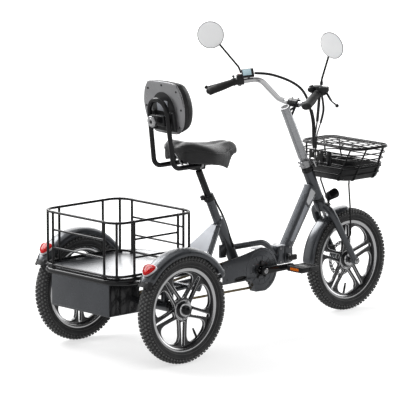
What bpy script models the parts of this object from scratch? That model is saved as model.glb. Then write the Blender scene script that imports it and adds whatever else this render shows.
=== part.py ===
"""Adult cargo tricycle: a folding step-through frame, two rear wheels and one steered front wheel.

Metres, +X forward, +Y to the rider's left, +Z up. The numbers below are measured from the ground
under the rear axle; the last step moves the origin forward by MIDDLE_X, to halfway along the
tricycle. Each object is one sub-part, and its name is the name of that sub-part.
"""

import math

import bmesh
import bpy
from mathutils import Matrix, Vector

# Wheels: 16 x 2.125 inch tyres on 305 mm rims.
TYRE_R = 0.2075
TYRE_HALF_W = 0.027
RIM_R = 0.159
RIM_HALF_W = 0.0175
SPIDER_R = 0.1445
HUB_R = 0.026
WHEEL_STEPS = 32
WHEELBASE = 1.1625
HALF_TRACK = 0.297
AXLE_Z = TYRE_R
MIDDLE_X = 0.5523
GAP = 0.0004

# Steering axis: a line in the middle plane, leaning back.
STEER_X = 0.818
STEER_Z = 0.859
STEER_SLOPE = 0.4827
FORK_LEG_Y = 0.053
HEAD_TOP_Z = 0.600
HEAD_LOW_Z = 0.468
COLLAR_LOW_Z = 0.612
COLLAR_TOP_Z = 0.643

# Seat tube: a second line in the middle plane, nearly parallel to the steering axis.
SEAT_X = 0.359
SEAT_TUBE_SHIFT = 0.008
SEAT_Z = 0.658
SEAT_SLOPE = 0.474
POST_R = 0.0136
SEAT_TUBE_TOP_Z = 0.560
SEAT_BORE_LOW_Z = 0.430

# Crank and chain.
CRANK_X = 0.610
CRANK_Z = 0.247
CRANK_LENGTH = 0.148
CHAIN_Y = -0.062
CHAINRING_R = 0.0665
SPROCKET_R = 0.0275
PEDAL_Y = 0.170

# Fold hinge: a vertical pin on the left side of the frame.
FOLD_X = 0.800
FOLD_Y = 0.034
FOLD_LOW_Z = 0.238
FOLD_TOP_Z = 0.312

# Rear platform, rack and box.
PLATFORM_REAR_X = -0.2545
PLATFORM_FRONT_X = 0.235
PLATFORM_HALF_Y = 0.2235
PLATFORM_Z = 0.325
PLATFORM_TUBE_R = 0.011
CORNER_R = 0.076
RACK_FRONT_X = 0.1446
RACK_TOP_Z = 0.551
RACK_LOW_Z = 0.3475
RACK_WIRE_R = 0.005
RACK_HALF_Y = 0.216
RACK_CORNER_R = 0.060
RACK_POST_Y = 0.1475
RACK_POST_X = (-0.165, 0.055)
BOX_LOW = (-0.2200, -0.1330, 0.1800)
BOX_TOP = (-0.0660, 0.2000, 0.3110)

# Front basket: two rounded rectangles, the lower one smaller.
BASKET_TOP = (1.0600, 1.2470, 0.172, 0.680)
BASKET_LOW = (1.0245, 1.2270, 0.131, 0.552)
BASKET_CORNER_R = 0.045
BASKET_TRAY_Z = 0.606
BASKET_WALL = 0.004
STAY_R = 0.0028

# Handlebar, right-hand half; the left half is its mirror image.
BAR_R = 0.011
BAR_CLAMP = (0.870, 0.872)
BAR_POINTS = (
    (0.870, 0.000, 0.872),
    (0.870, 0.050, 0.872),
    (0.862, 0.082, 0.882),
    (0.845, 0.172, 0.953),
)
GRIP_INNER = (0.766, 0.232, 0.942)
GRIP_OUTER = (0.667, 0.2825, 0.907)
GRIP_R = 0.016

# Backrest: it leans back, and its frame loop stands behind it.
BACK_LEAN = math.radians(8.2)
LOOP_HALF_Y = 0.050
LOOP_TUBE_R = 0.0095
KNOB_UP = -0.038

SIDES = (("left", 1), ("right", -1))
parts = bpy.data.collections.new("adult_tricycle")


# ---------------------------------------------------------------- materials and helpers


def material(name, colour, roughness, metallic=0.0):
    made = bpy.data.materials.new(name)
    made.use_nodes = True
    shader = made.node_tree.nodes["Principled BSDF"]
    shader.inputs["Base Color"].default_value = (*colour, 1.0)
    shader.inputs["Roughness"].default_value = roughness
    shader.inputs["Metallic"].default_value = metallic
    return made


def clear_scene():
    for obj in list(bpy.data.objects):
        bpy.data.objects.remove(obj)
    bpy.context.scene.collection.children.link(parts)


def steer_point(z, offset=0.0):
    """A point on the steering axis at height z, moved forward by offset at right angles to it."""
    down = steer_down()
    forward = Vector((-down.z, 0, down.x))
    return Vector((STEER_X + STEER_SLOPE * (STEER_Z - z), 0, z)) + offset * forward


def steer_down():
    return Vector((STEER_SLOPE, 0, -1)).normalized()


def seat_point(z):
    return Vector((SEAT_X + SEAT_SLOPE * (SEAT_Z - z), 0, z))


def link(name, mesh, mat):
    """A new object for the mesh, in the parts' collection."""
    obj = bpy.data.objects.new(name, mesh)
    mesh.materials.clear()
    mesh.materials.append(mat)
    parts.objects.link(obj)
    return obj


def shade(obj):
    obj.data.shade_smooth()
    obj.data.set_sharp_from_angle(angle=math.radians(35))
    return obj


def evaluated_mesh(obj, weld=1e-5):
    """The object's mesh with its modifiers applied, in world space, with its caps welded."""
    bpy.context.view_layer.update()
    graph = bpy.context.evaluated_depsgraph_get()
    mesh = bpy.data.meshes.new_from_object(obj.evaluated_get(graph))
    mesh.transform(obj.matrix_world)
    bm = bmesh.new()
    bm.from_mesh(mesh)
    bmesh.ops.remove_doubles(bm, verts=bm.verts, dist=weld)
    bm.to_mesh(mesh)
    bm.free()
    return mesh


def baked(obj, mat):
    """The object replaced by a plain mesh object of the same name."""
    name = obj.name
    mesh = evaluated_mesh(obj)
    bpy.data.objects.remove(obj)
    mesh.name = name
    return shade(link(name, mesh, mat))


def combine(name, operation, base, others, mat):
    """The base joined with, or cut by, each of the others, which are used up."""
    for other in others:
        boolean = base.modifiers.new(operation.lower(), "BOOLEAN")
        boolean.operation = operation
        boolean.solver = "EXACT"
        boolean.object = other
    mesh = evaluated_mesh(base)
    for used in [base, *others]:
        bpy.data.objects.remove(used)
    mesh.name = name
    return shade(link(name, mesh, mat))


def union(name, pieces, mat):
    return combine(name, "UNION", pieces[0], pieces[1:], mat)


def cut(name, base, cutters, mat):
    return combine(name, "DIFFERENCE", base, cutters, mat)


def rounded_path(points, bend, steps=3, closed=False):
    """The path through the points, with each inner corner rounded to the bend radius."""
    points = [Vector(p) for p in points]
    count = len(points)
    path = []
    for i, point in enumerate(points):
        if not closed and i in (0, count - 1):
            path.append(point)
            continue
        before = (points[i - 1] - point).normalized()
        after = (points[(i + 1) % count] - point).normalized()
        half = before.angle(after) / 2
        if half > math.radians(89) or bend <= 0:
            path.append(point)
            continue
        room = 0.49 * min((points[i - 1] - point).length, (points[(i + 1) % count] - point).length)
        radius = min(bend, room * math.tan(half))
        centre = point + (before + after).normalized() * radius / math.sin(half)
        start = point + before * radius / math.tan(half) - centre
        end = point + after * radius / math.tan(half) - centre
        turn = start.rotation_difference(end)
        for step in range(steps + 1):
            part = turn.copy()
            part.angle = turn.angle * step / steps
            path.append(centre + part @ start)
    return path


def tube(name, points, radius, mat, sides=8, closed=False, radii=None):
    """A round tube along the points, with flat ends. radii scales the radius at each point."""
    curve = bpy.data.curves.new(name, "CURVE")
    curve.dimensions = "3D"
    curve.bevel_depth = radius
    curve.bevel_resolution = (sides - 4) // 2
    curve.use_fill_caps = not closed
    spline = curve.splines.new("POLY")
    spline.points.add(len(points) - 1)
    for i, point in enumerate(points):
        spline.points[i].co = (*point, 1)
        spline.points[i].radius = radii[i] if radii else 1.0
    spline.use_cyclic_u = closed
    return baked(link_curve(name, curve), mat)


def link_curve(name, curve):
    obj = bpy.data.objects.new(name, curve)
    parts.objects.link(obj)
    return obj


def plate(name, outlines, half_thickness, place, mat):
    """A flat plate: closed outlines in its own XY plane, the inner ones holes, put at place."""
    curve = bpy.data.curves.new(name, "CURVE")
    curve.dimensions = "2D"
    curve.fill_mode = "BOTH"
    curve.extrude = half_thickness
    for outline in outlines:
        spline = curve.splines.new("POLY")
        spline.points.add(len(outline) - 1)
        for i, point in enumerate(outline):
            spline.points[i].co = (point[0], point[1], 0, 1)
        spline.use_cyclic_u = True
    obj = link_curve(name, curve)
    obj.matrix_world = place
    return baked(obj, mat)


def facing(origin, x_axis, y_axis):
    """The matrix that puts a plate's XY plane at origin along two given directions."""
    x = Vector(x_axis).normalized()
    z = x.cross(Vector(y_axis)).normalized()
    y = z.cross(x)
    turn = Matrix((x, y, z)).transposed().to_4x4()
    return Matrix.Translation(Vector(origin)) @ turn


def solid(name, fill, mat, place=None):
    """A mesh object filled by fill(bm), put at place."""
    mesh = bpy.data.meshes.new(name)
    bm = bmesh.new()
    fill(bm)
    if place is not None:
        bm.transform(place)
    bm.to_mesh(mesh)
    bm.free()
    return link(name, mesh, mat)


def box(name, low, top, mat, place=None, bevel=0.0):
    """A box between two corners, with its edges cut by the bevel."""
    low, top = Vector(low), Vector(top)

    def fill(bm):
        bmesh.ops.create_cube(bm, size=1.0)
        bmesh.ops.scale(bm, vec=top - low, verts=bm.verts)
        bmesh.ops.translate(bm, vec=(top + low) / 2, verts=bm.verts)
        if bevel:
            bmesh.ops.bevel(bm, geom=bm.edges[:], offset=bevel, segments=1, affect="EDGES")

    return solid(name, fill, mat, place)


def cylinder(name, start, end, radius, mat, sides=16, radius_end=None):
    """A cylinder, or a cone, between two points."""
    start, end = Vector(start), Vector(end)
    far = radius if radius_end is None else radius_end
    turn = (end - start).to_track_quat("Z", "Y").to_matrix().to_4x4()
    place = Matrix.Translation((start + end) / 2) @ turn

    def fill(bm):
        depth = (end - start).length
        bmesh.ops.create_cone(
            bm, cap_ends=True, segments=sides, radius1=radius, radius2=far, depth=depth
        )

    return shade(solid(name, fill, mat, place))


def turned(name, profile, place, mat, steps=WHEEL_STEPS, angle=2 * math.pi, wall=0.0, closed=True):
    """A profile of (radius, height) points turned about Z; its outer side runs from top to bottom."""
    mesh = bpy.data.meshes.new(name)
    count = len(profile)
    edges = [(i, (i + 1) % count) for i in range(count if closed else count - 1)]
    mesh.from_pydata([(r, 0, z) for r, z in profile], edges, [])
    obj = link(name, mesh, mat)
    screw = obj.modifiers.new("turn", "SCREW")
    screw.angle = angle
    screw.steps = steps
    screw.render_steps = steps
    screw.use_merge_vertices = angle > 6.28
    screw.merge_threshold = 0.00005
    if wall:
        shell = obj.modifiers.new("wall", "SOLIDIFY")
        shell.thickness = wall
        shell.offset = 0
    obj.matrix_world = place
    return baked(obj, mat)


def across(x, y, z, turn=0.0):
    """The place of a piece that turns about the Y axis; turn rotates it about that axis."""
    upright = Matrix.Rotation(-math.pi / 2, 4, "X")
    return Matrix.Translation((x, y, z)) @ Matrix.Rotation(turn, 4, "Y") @ upright


def mirrored(points):
    return [(x, -y, z) for x, y, z in points]


def sided(points, side):
    """The points, given for the left side, on the side wanted."""
    return [(x, y * side, z) for x, y, z in points]


def rounded_rectangle(x_low, x_top, half_y, corner, steps=3):
    """(x, y) points round a rectangle with rounded corners, anticlockwise."""
    points = []
    corners = (
        (x_top - corner, half_y - corner, 0),
        (x_low + corner, half_y - corner, 90),
        (x_low + corner, corner - half_y, 180),
        (x_top - corner, corner - half_y, 270),
    )
    for x, y, start in corners:
        for step in range(steps + 1):
            a = math.radians(start + 90 * step / steps)
            points.append((x + corner * math.cos(a), y + corner * math.sin(a)))
    return points


# ---------------------------------------------------------------- wheels


def petal_window(angle):
    """One of the five large windows between the double spokes: a rounded wedge."""
    half = math.radians(22)
    inner, outer = 0.052, 0.134
    points = [(0.046, 0.0)]
    for step in range(5):
        a = -half + 2 * half * step / 4
        points.append((outer - 0.008 * abs(a / half) ** 3, a))
    ring = [points[0]] + [(inner + 0.045, -half * 0.72)] + points[1:] + [(inner + 0.045, half * 0.72)]
    return [(r * math.cos(angle + a), r * math.sin(angle + a)) for r, a in ring]


def slot_window(angle):
    """One of the five straight slots inside a double spoke."""
    ring = ((0.048, -0.0030), (0.136, -0.0055), (0.136, 0.0055), (0.048, 0.0030))
    cos, sin = math.cos(angle), math.sin(angle)
    return [(x * cos - y * sin, x * sin + y * cos) for x, y in ring]


def wheel_mesh(mat):
    """Rim, five double spokes and hub as one casting, centred on the origin, turning about Y."""
    rim_profile = (
        (RIM_R, RIM_HALF_W),
        (RIM_R, -RIM_HALF_W),
        (0.147, -RIM_HALF_W),
        (0.1425, -0.010),
        (0.1425, 0.010),
        (0.147, RIM_HALF_W),
    )
    rim = turned("rim", rim_profile, across(0, 0, 0), mat)
    circle = [
        (SPIDER_R * math.cos(2 * math.pi * i / 40), SPIDER_R * math.sin(2 * math.pi * i / 40))
        for i in range(40)
    ]
    outlines = [circle]
    for i in range(5):
        spoke = math.radians(-90 + 72 * i)
        outlines.append(slot_window(spoke))
        outlines.append(petal_window(spoke + math.radians(36)))
    upright = facing((0, 0, 0), (1, 0, 0), (0, 0, 1))
    spider = plate("spider", outlines, 0.007, upright, mat)
    hub = cylinder("hub", (0, -0.024, 0), (0, 0.024, 0), HUB_R, mat, 20)
    whole = union("whole", [rim, spider, hub], mat)
    bore = cylinder("bore", (0, -0.03, 0), (0, 0.03, 0), 0.0056, mat, 10)
    made = cut("wheel", whole, [bore], mat)
    mesh = made.data
    bpy.data.objects.remove(made)
    return mesh


def wheel(prefix, mesh, x, y, rim_mat, tyre_mat, turn=0.0):
    """One wheel's rim and tyre; the rim's origin is on the wheel's axis."""
    rim = bpy.data.objects.new(f"{prefix}_rim", mesh)
    parts.objects.link(rim)
    rim.location = (x, y, AXLE_Z)
    rim.rotation_euler = (0, turn, 0)
    profile = (
        (TYRE_R, 0.011),
        (TYRE_R, -0.011),
        (0.1965, -0.0245),
        (0.180, -TYRE_HALF_W),
        (0.1606, -0.0195),
        (0.1606, 0.0195),
        (0.180, TYRE_HALF_W),
        (0.1965, 0.0245),
    )
    turned(f"{prefix}_tyre", profile, across(x, y, AXLE_Z), tyre_mat)


# ---------------------------------------------------------------- rear frame


def hinge_lug(name, x_low, x_top, knuckles, mat):
    """One half of the fold hinge: a block and its knuckles round the vertical fold axis."""
    pieces = [box("block", (x_low, -0.024, FOLD_LOW_Z), (x_top, 0.024, FOLD_TOP_Z), mat, bevel=0.003)]
    web_x = x_top - 0.012 if x_top < FOLD_X else x_low
    for low, top in knuckles:
        pieces.append(cylinder("knuckle", (FOLD_X, FOLD_Y, low), (FOLD_X, FOLD_Y, top), 0.009, mat, 12))
        pieces.append(box("web", (web_x, 0.015, low), (web_x + 0.012, FOLD_Y + 0.004, top), mat))
    return pieces


def seat_tube_pieces(mat):
    upper = cylinder("upper", seat_point(SEAT_TUBE_TOP_Z), seat_point(0.425), 0.0165, mat, 14)
    shift = Vector((SEAT_TUBE_SHIFT, 0, 0))
    lower = cylinder("lower", seat_point(0.456) + shift, seat_point(0.262) + shift, 0.0215, mat, 14)
    return [lower, upper]


def rear_stays(mat):
    """The two braces from the seat tube, the two chain stays and what they carry."""
    pieces = []
    for _, side in SIDES:
        brace = sided([(0.462, 0.006, 0.440), (0.245, 0.122, 0.226)], side)
        pieces.append(tube("brace", brace, 0.011, mat))
        stay = sided([(0.560, 0.014, 0.256), (0.400, 0.030, 0.226), (0.024, 0.030, 0.2075)], side)
        pieces.append(tube("stay", rounded_path(stay, 0.05, 2), 0.010, mat))
        strut = sided([(0.245, 0.116, 0.226), (PLATFORM_FRONT_X, 0.116, PLATFORM_Z)], side)
        pieces.append(tube("strut", strut, 0.009, mat))
        carrier = sided([(0.0, 0.212, AXLE_Z + 0.0224), (0.0, 0.212, PLATFORM_Z)], side)
        for angle in (33, 146):
            a = math.radians(angle)
            tip = (0.2225 * math.cos(a), 0.2608 * side, AXLE_Z + 0.2225 * math.sin(a))
            root = (tip[0], 0.214 * side, PLATFORM_Z)
            pieces.append(tube("fender_strut", [root, tip], 0.004, mat, 6))
        low_y, top_y = sorted((carrier[0][1] - 0.006 * side, carrier[0][1] + 0.014 * side))
        low = (-0.024, low_y, carrier[0][2])
        pieces.append(box("carrier", low, (0.024, top_y, PLATFORM_Z), mat))
    pieces.append(tube("lower_cross", [(0.245, -0.128, 0.226), (0.245, 0.128, 0.226)], 0.010, mat))
    return pieces


def main_frame(mat):
    """Seat tube, step-through loop, bottom bracket, stays and platform tubes, welded into one."""
    outline = rounded_rectangle(PLATFORM_REAR_X, PLATFORM_FRONT_X, PLATFORM_HALF_Y, CORNER_R)
    loop = tube("loop", [(x, y, PLATFORM_Z) for x, y in outline], PLATFORM_TUBE_R, mat, closed=True)
    pieces = seat_tube_pieces(mat) + rear_stays(mat)
    pieces.append(tube("cross", [(0, -0.2235, PLATFORM_Z), (0, 0.2235, PLATFORM_Z)], 0.009, mat))
    step = [(0.530, 0, 0.335), (0.706, 0, 0.335), (0.785, 0, 0.266)]
    pieces.append(tube("step", rounded_path(step, 0.07, 4), 0.012, mat, 10))
    pieces.append(tube("belly", [(0.600, 0, 0.247), (0.776, 0, 0.258)], 0.016, mat, 10))
    pieces.append(
        cylinder("shell", (CRANK_X, -0.034, CRANK_Z), (CRANK_X, 0.034, CRANK_Z), 0.021, mat)
    )
    knuckles = ((0.243, 0.260), (0.290, 0.307))
    pieces += hinge_lug("rear_lug", 0.764, 0.7985, knuckles, mat)
    pieces.append(cylinder("pin", (FOLD_X, FOLD_Y, 0.240), (FOLD_X, FOLD_Y, 0.310), 0.0035, mat, 8))
    whole = union("whole", [loop] + pieces, mat)
    bore = cylinder("bore", seat_point(0.600), seat_point(SEAT_BORE_LOW_Z), POST_R + GAP, mat, 14)
    return cut("main_frame", whole, [bore, crank_bore(mat)], mat)


def crank_bore(mat):
    return cylinder("hole", (CRANK_X, -0.05, CRANK_Z), (CRANK_X, 0.05, CRANK_Z), 0.0096, mat, 14)


def deck_and_gusset(deck_mat):
    """The cargo deck on the platform tubes, and the sloping panel between the two braces."""
    outline = rounded_rectangle(
        PLATFORM_REAR_X + 0.004, PLATFORM_FRONT_X + 0.003, PLATFORM_HALF_Y - 0.002, CORNER_R - 0.004
    )
    deck_z = PLATFORM_Z + PLATFORM_TUBE_R + GAP + 0.002
    plate("deck_plate", [outline], 0.002, Matrix.Translation((0, 0, deck_z)), deck_mat)
    slope = Vector((0.462 - 0.245, 0, 0.440 - 0.226)).normalized()
    normal = Vector((-slope.z, 0, slope.x))
    start = Vector((0.3595, 0, 0.3390)) + normal * 0.0135
    panel = [(0.0, -0.060), (0.124, -0.014), (0.124, 0.014), (0.0, 0.060)]
    plate("gusset_panel", [panel], 0.001, facing(start, slope, (0, 1, 0)), deck_mat)


def cargo_rack(mat):
    """Open-top guard rail: top and bottom loops, posts, and cross rails on three sides."""
    ring = rounded_rectangle(PLATFORM_REAR_X, RACK_FRONT_X, RACK_HALF_Y, RACK_CORNER_R)
    wire = RACK_WIRE_R
    top = tube("top", [(x, y, RACK_TOP_Z) for x, y in ring], wire, mat, 6, closed=True)
    low = tube("low", [(x, y, RACK_LOW_Z) for x, y in ring], wire, mat, 6, closed=True)
    middle = RACK_CORNER_R * (1 - math.sqrt(0.5))
    feet = []
    for _, side in SIDES:
        feet += [(x, RACK_HALF_Y * side) for x in RACK_POST_X]
        for x_edge, turn in ((PLATFORM_REAR_X, 1), (RACK_FRONT_X, -1)):
            feet.append((x_edge, RACK_POST_Y * side))
            feet.append((x_edge + middle * turn, (RACK_HALF_Y - middle) * side))
    pieces = [low] + [tube("post", [(x, y, RACK_LOW_Z), (x, y, RACK_TOP_Z)], wire, mat, 6) for x, y in feet]
    for share in (0.33, 0.67):
        z = RACK_LOW_Z + (RACK_TOP_Z - RACK_LOW_Z) * share
        for x in (PLATFORM_REAR_X, RACK_FRONT_X):
            ends = [(x, -RACK_POST_Y, z), (x, RACK_POST_Y, z)]
            pieces.append(tube("rail", ends, wire * 0.8, mat, 6))
        ends = [(x, -RACK_HALF_Y, z) for x in RACK_POST_X]
        pieces.append(tube("rail", ends, wire * 0.8, mat, 6))
    return union("cargo_rack", [top] + pieces, mat)


def axle_housing(mat):
    """Rear axle tube with the drum of the drive motor and differential on it."""
    axle = cylinder("axle", (0, -0.246, AXLE_Z), (0, 0.246, AXLE_Z), 0.021, mat, 16)
    drum = cylinder("drum", (0, 0.045, AXLE_Z), (0, 0.140, AXLE_Z), 0.058, mat, 20)
    shaft = cylinder("shaft", (0, -0.318, AXLE_Z), (0, 0.318, AXLE_Z), 0.0050, mat, 10)
    return union("axle_housing", [axle, drum, shaft], mat)


def chain_case_outline(inset):
    """(x, z) outline of the chain case, moved inwards by inset."""
    radius = 0.0885 - inset
    tail_x, tail_top, tail_low = 0.405, 0.2985 - inset, 0.213 + inset
    points = [(tail_x, tail_low), (0.552, tail_low + 0.001), (0.580, 0.172 + inset)]
    points.append((0.583, 0.163 + inset))
    for degrees in range(-75, 106, 15):
        a = math.radians(degrees)
        points.append((CRANK_X + radius * math.cos(a), CRANK_Z + radius * math.sin(a)))
    points.append((tail_x, tail_top))
    return points


def chain_case(mat):
    """Cover over the chainring and the chain, open on its inner side and at its rear end."""
    outer = plate(
        "outer", [chain_case_outline(0)], 0.0175, facing((0, -0.0685, 0), (1, 0, 0), (0, 0, 1)), mat
    )
    inside = [(x - (0.02 if x < 0.41 else 0), z) for x, z in chain_case_outline(0.003)]
    inner = plate("inner", [inside], 0.0175, facing((0, -0.0655, 0), (1, 0, 0), (0, 0, 1)), mat)
    ring_space = cylinder("ring", (CRANK_X, -0.083, CRANK_Z), (CRANK_X, -0.040, CRANK_Z), 0.0765, mat, 32)
    chain_exit = box("exit", (0.540, -0.083, 0.1700), (0.605, -0.040, 0.1840), mat)
    hole = cylinder("hole", (CRANK_X, -0.10, CRANK_Z), (CRANK_X, -0.06, CRANK_Z), 0.0170, mat, 16)
    return cut("chain_case", outer, [inner, ring_space, chain_exit, hole], mat)


def chain(mat):
    """The roller chain as a closed band round the chainring and the rear sprocket."""
    rings = ((CRANK_X, CRANK_Z, CHAINRING_R, -90, 97), (0.0, AXLE_Z, SPROCKET_R, 97, 270))
    steps = 8
    bands = []
    for grow in (0.0007, 0.0067):
        band = []
        for x, z, radius, start, end in rings:
            half_step = math.radians((end - start) / steps / 2)
            reach = radius + grow
            if grow < 0.001:
                reach /= math.cos(half_step)
            for step in range(steps + 1):
                a = math.radians(start + (end - start) * step / steps)
                band.append((x + reach * math.cos(a), z + reach * math.sin(a)))
        bands.append(band)
    return plate("chain", [bands[1], bands[0]], 0.003, facing((0, CHAIN_Y, 0), (1, 0, 0), (0, 0, 1)), mat)


def rear_fender(name, side, mat):
    """Arched guard over a rear wheel, with its edges turned down."""
    profile = (
        (0.2215, -0.034), (0.2290, -0.031), (0.2340, -0.015),
        (0.2340, 0.015), (0.2290, 0.031), (0.2215, 0.034),
    )
    place = across(0, HALF_TRACK * side, AXLE_Z, math.radians(-28))
    return turned(name, profile, place, mat, 14, math.radians(-123), 0.002, closed=False)


def tail_light(name, side, mat):
    """Shield-shaped lamp on the rear face of a rear guard."""
    a = math.radians(134)
    out = Vector((math.cos(a), 0, math.sin(a)))
    up = Vector((math.sin(a), 0, -math.cos(a)))
    centre = Vector((0, HALF_TRACK * side, AXLE_Z)) + out * (0.2355 + 0.0075)
    outline = (
        (-0.030, 0.022), (-0.033, 0.012), (-0.024, -0.010), (-0.007, -0.027), (0.007, -0.027),
        (0.024, -0.010), (0.033, 0.012), (0.030, 0.022), (0.012, 0.026), (-0.012, 0.026),
    )
    return plate(name, [outline], 0.0065, facing(centre, (0, 1, 0), up), mat)


def seat_collar(mat):
    """Clamp ring round the top of the seat tube."""
    down = (seat_point(0.4) - seat_point(0.5)).normalized()
    turn = down.to_track_quat("Z", "Y").to_matrix().to_4x4()
    profile = ((0.0215, 0.011), (0.0215, -0.011), (0.0170, -0.011), (0.0170, 0.011))
    place = Matrix.Translation(seat_point(SEAT_TUBE_TOP_Z - 0.013)) @ turn
    return turned("seat_collar", profile, place, mat, 16)


# ---------------------------------------------------------------- crank


def rear_sprocket(mat):
    profile = ((SPROCKET_R, 0.0015), (SPROCKET_R, -0.0015), (0.0216, -0.0015), (0.0216, 0.0015))
    return turned("rear_sprocket", profile, across(0, CHAIN_Y, AXLE_Z), mat, 24)


def crank_arm(side, mat):
    """One arm, from the axle to the pedal's axle; the right one points forward."""
    reach = CRANK_LENGTH if side < 0 else -CRANK_LENGTH
    y = (0.108 if side < 0 else 0.070) * side
    outline = [(0, 0.016), (-0.011, 0.011), (-0.016, 0), (-0.011, -0.011), (0, -0.016)]
    far = [(CRANK_LENGTH, -0.011), (CRANK_LENGTH + 0.011, 0), (CRANK_LENGTH, 0.011)]
    turn = (1, 0, 0) if reach > 0 else (-1, 0, 0)
    place = facing((CRANK_X, y, CRANK_Z), turn, (0, 0, 1))
    return plate("arm", [outline + far], 0.006, place, mat)


def crankset(mat):
    """Axle, chainring and both arms, turning as one."""
    axle = cylinder("axle", (CRANK_X, -0.114, CRANK_Z), (CRANK_X, 0.076, CRANK_Z), 0.0088, mat, 14)
    near, far = (CRANK_X, CHAIN_Y - 0.0015, CRANK_Z), (CRANK_X, CHAIN_Y + 0.0015, CRANK_Z)
    ring = cylinder("ring", near, far, CHAINRING_R, mat, 32)
    return union("crankset", [ring, axle, crank_arm(-1, mat), crank_arm(1, mat)], mat)


def pedal(name, side, mat):
    """Flat pedal: a block with a bored axle stub towards the arm."""
    x = CRANK_X + (CRANK_LENGTH if side < 0 else -CRANK_LENGTH)
    inner = (0.1145 if side < 0 else 0.0765) + GAP
    body_in = PEDAL_Y - 0.043 if side < 0 else PEDAL_Y - 0.075
    low_y, top_y = sorted((body_in * side, (body_in + 0.086) * side))
    low, top = (x - 0.048, low_y, CRANK_Z - 0.011), (x + 0.048, top_y, CRANK_Z + 0.011)
    body = box("body", low, top, mat, bevel=0.004)
    stub = cylinder("stub", (x, inner * side, CRANK_Z), (x, PEDAL_Y * side * 0.9, CRANK_Z), 0.006, mat, 10)
    return union(name, [body, stub], mat)


# ---------------------------------------------------------------- seat post, saddle, backrest


def seat_post(mat):
    return baked(
        cylinder("seat_post", seat_point(0.456), seat_point(0.6585), POST_R, mat, 14), mat
    )


def saddle_base(mat):
    """Post clamp, saddle rails and the cross tube that holds the backrest loop."""
    head = seat_point(0.664)
    low, top = head + Vector((-0.040, -0.022, 0.001)), head + Vector((0.022, 0.022, 0.027))
    block = box("block", low, top, mat, bevel=0.004)
    pieces = []
    for _, side in SIDES:
        rail = [(0.262, 0.030, 0.7360), (0.292, 0.018, 0.681), (0.420, 0.018, 0.681), (0.476, 0.016, 0.7205)]
        pieces.append(tube("rail", sided(rail, side), 0.0035, mat, 6))
    pieces.append(tube("cross", [(0.3215, -0.0448, 0.6905), (0.3215, 0.0448, 0.6905)], 0.007, mat))
    return union("saddle_base", [block] + pieces, mat)


def saddle_rings():
    """Cross-sections of the saddle: x, half width, top, side bottom and underside heights."""
    stations = (
        (0.228, 0.040, 0.768, 0.742, 0.750),
        (0.250, 0.073, 0.782, 0.728, 0.744),
        (0.275, 0.099, 0.784, 0.716, 0.738),
        (0.305, 0.117, 0.776, 0.706, 0.732),
        (0.340, 0.124, 0.768, 0.696, 0.728),
        (0.385, 0.110, 0.761, 0.682, 0.724),
        (0.425, 0.088, 0.759, 0.670, 0.722),
        (0.450, 0.070, 0.760, 0.664, 0.724),
        (0.480, 0.054, 0.762, 0.690, 0.726),
        (0.515, 0.040, 0.762, 0.704, 0.728),
        (0.540, 0.028, 0.752, 0.708, 0.728),
        (0.552, 0.015, 0.740, 0.714, 0.724),
    )
    rings = []
    for x, half, top, low, under in stations:
        section = (
            (0, top - 0.008), (0.5 * half, top - 0.003), (0.85 * half, top - 0.008), (half, top - 0.026),
            (0.96 * half, low), (0.80 * half, low), (0.5 * half, under), (0, under),
        )
        right = [(x, y, z) for y, z in section]
        left = [(x, -y, z) for y, z in reversed(section[1:-1])]
        rings.append(right + left)
    return rings


def loft(name, rings, mat, ends=True):
    """A skin through rings of equal numbers of points, closed at its ends."""

    def fill(bm):
        rows = [[bm.verts.new(p) for p in ring] for ring in rings]
        count = len(rings[0])
        for near, far in zip(rows, rows[1:]):
            for i in range(count):
                j = (i + 1) % count
                bm.faces.new((near[i], near[j], far[j], far[i]))
        if ends:
            bm.faces.new(list(reversed(rows[0])))
            bm.faces.new(rows[-1])
            bmesh.ops.recalc_face_normals(bm, faces=bm.faces)

    return solid(name, fill, mat)


def backrest_loop(mat):
    """Bent tube from the saddle clamp back, up behind the backrest and over."""
    half = [
        (0.330, 0.055, 0.6905),
        (0.179, 0.055, 0.6905),
        (0.1500, 0.050, 0.906),
    ]
    left = rounded_path(half, 0.036, 4)
    arc = []
    for step in range(1, 8):
        a = math.pi * step / 8
        rise = LOOP_HALF_Y * math.sin(a)
        arc.append((0.1500 - 0.13 * rise, LOOP_HALF_Y * math.cos(a), 0.906 + rise))
    points = left + [Vector(p) for p in arc] + [Vector((p.x, -p.y, p.z)) for p in reversed(left)]
    return tube("backrest_loop", points, LOOP_TUBE_R, mat)


def back_place(offset):
    """The leaning plane of the backrest: local X to the left, local Y up, offset forwards."""
    up = Vector((-math.sin(BACK_LEAN), 0, math.cos(BACK_LEAN)))
    forward = Vector((math.cos(BACK_LEAN), 0, math.sin(BACK_LEAN)))
    middle = Vector((0.178, 0, 0.922)) + forward * offset
    return facing(middle, (0, 1, 0), up)


def back_outline(grow=0.0):
    """Outline of the backrest: broad at the middle, with flatter top and bottom edges."""
    half = (
        (0.058, -0.101), (0.083, -0.092), (0.101, -0.068), (0.110, -0.030), (0.112, 0.012),
        (0.104, 0.055), (0.088, 0.085), (0.062, 0.101),
    )
    grown = [(x + grow, y + grow * (1 if y > 0 else -1)) for x, y in half]
    return grown + [(-x, y) for x, y in reversed(grown)]


def pad_rings():
    """Cross-sections of the cushion, from its back to its domed front."""
    layers = (
        (0.0095, 0.98, 0.98, 0.0), (0.034, 0.98, 0.95, 0.003),
        (0.050, 0.90, 0.82, 0.006), (0.058, 0.66, 0.58, 0.008),
    )
    rings = []
    for depth, wide, high, drop in layers:
        place = back_place(depth)
        outline = [(x * wide, y * high - drop) for x, y in back_outline()]
        rings.append([place @ Vector((x, y, 0)) for x, y in outline])
    return rings


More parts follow.
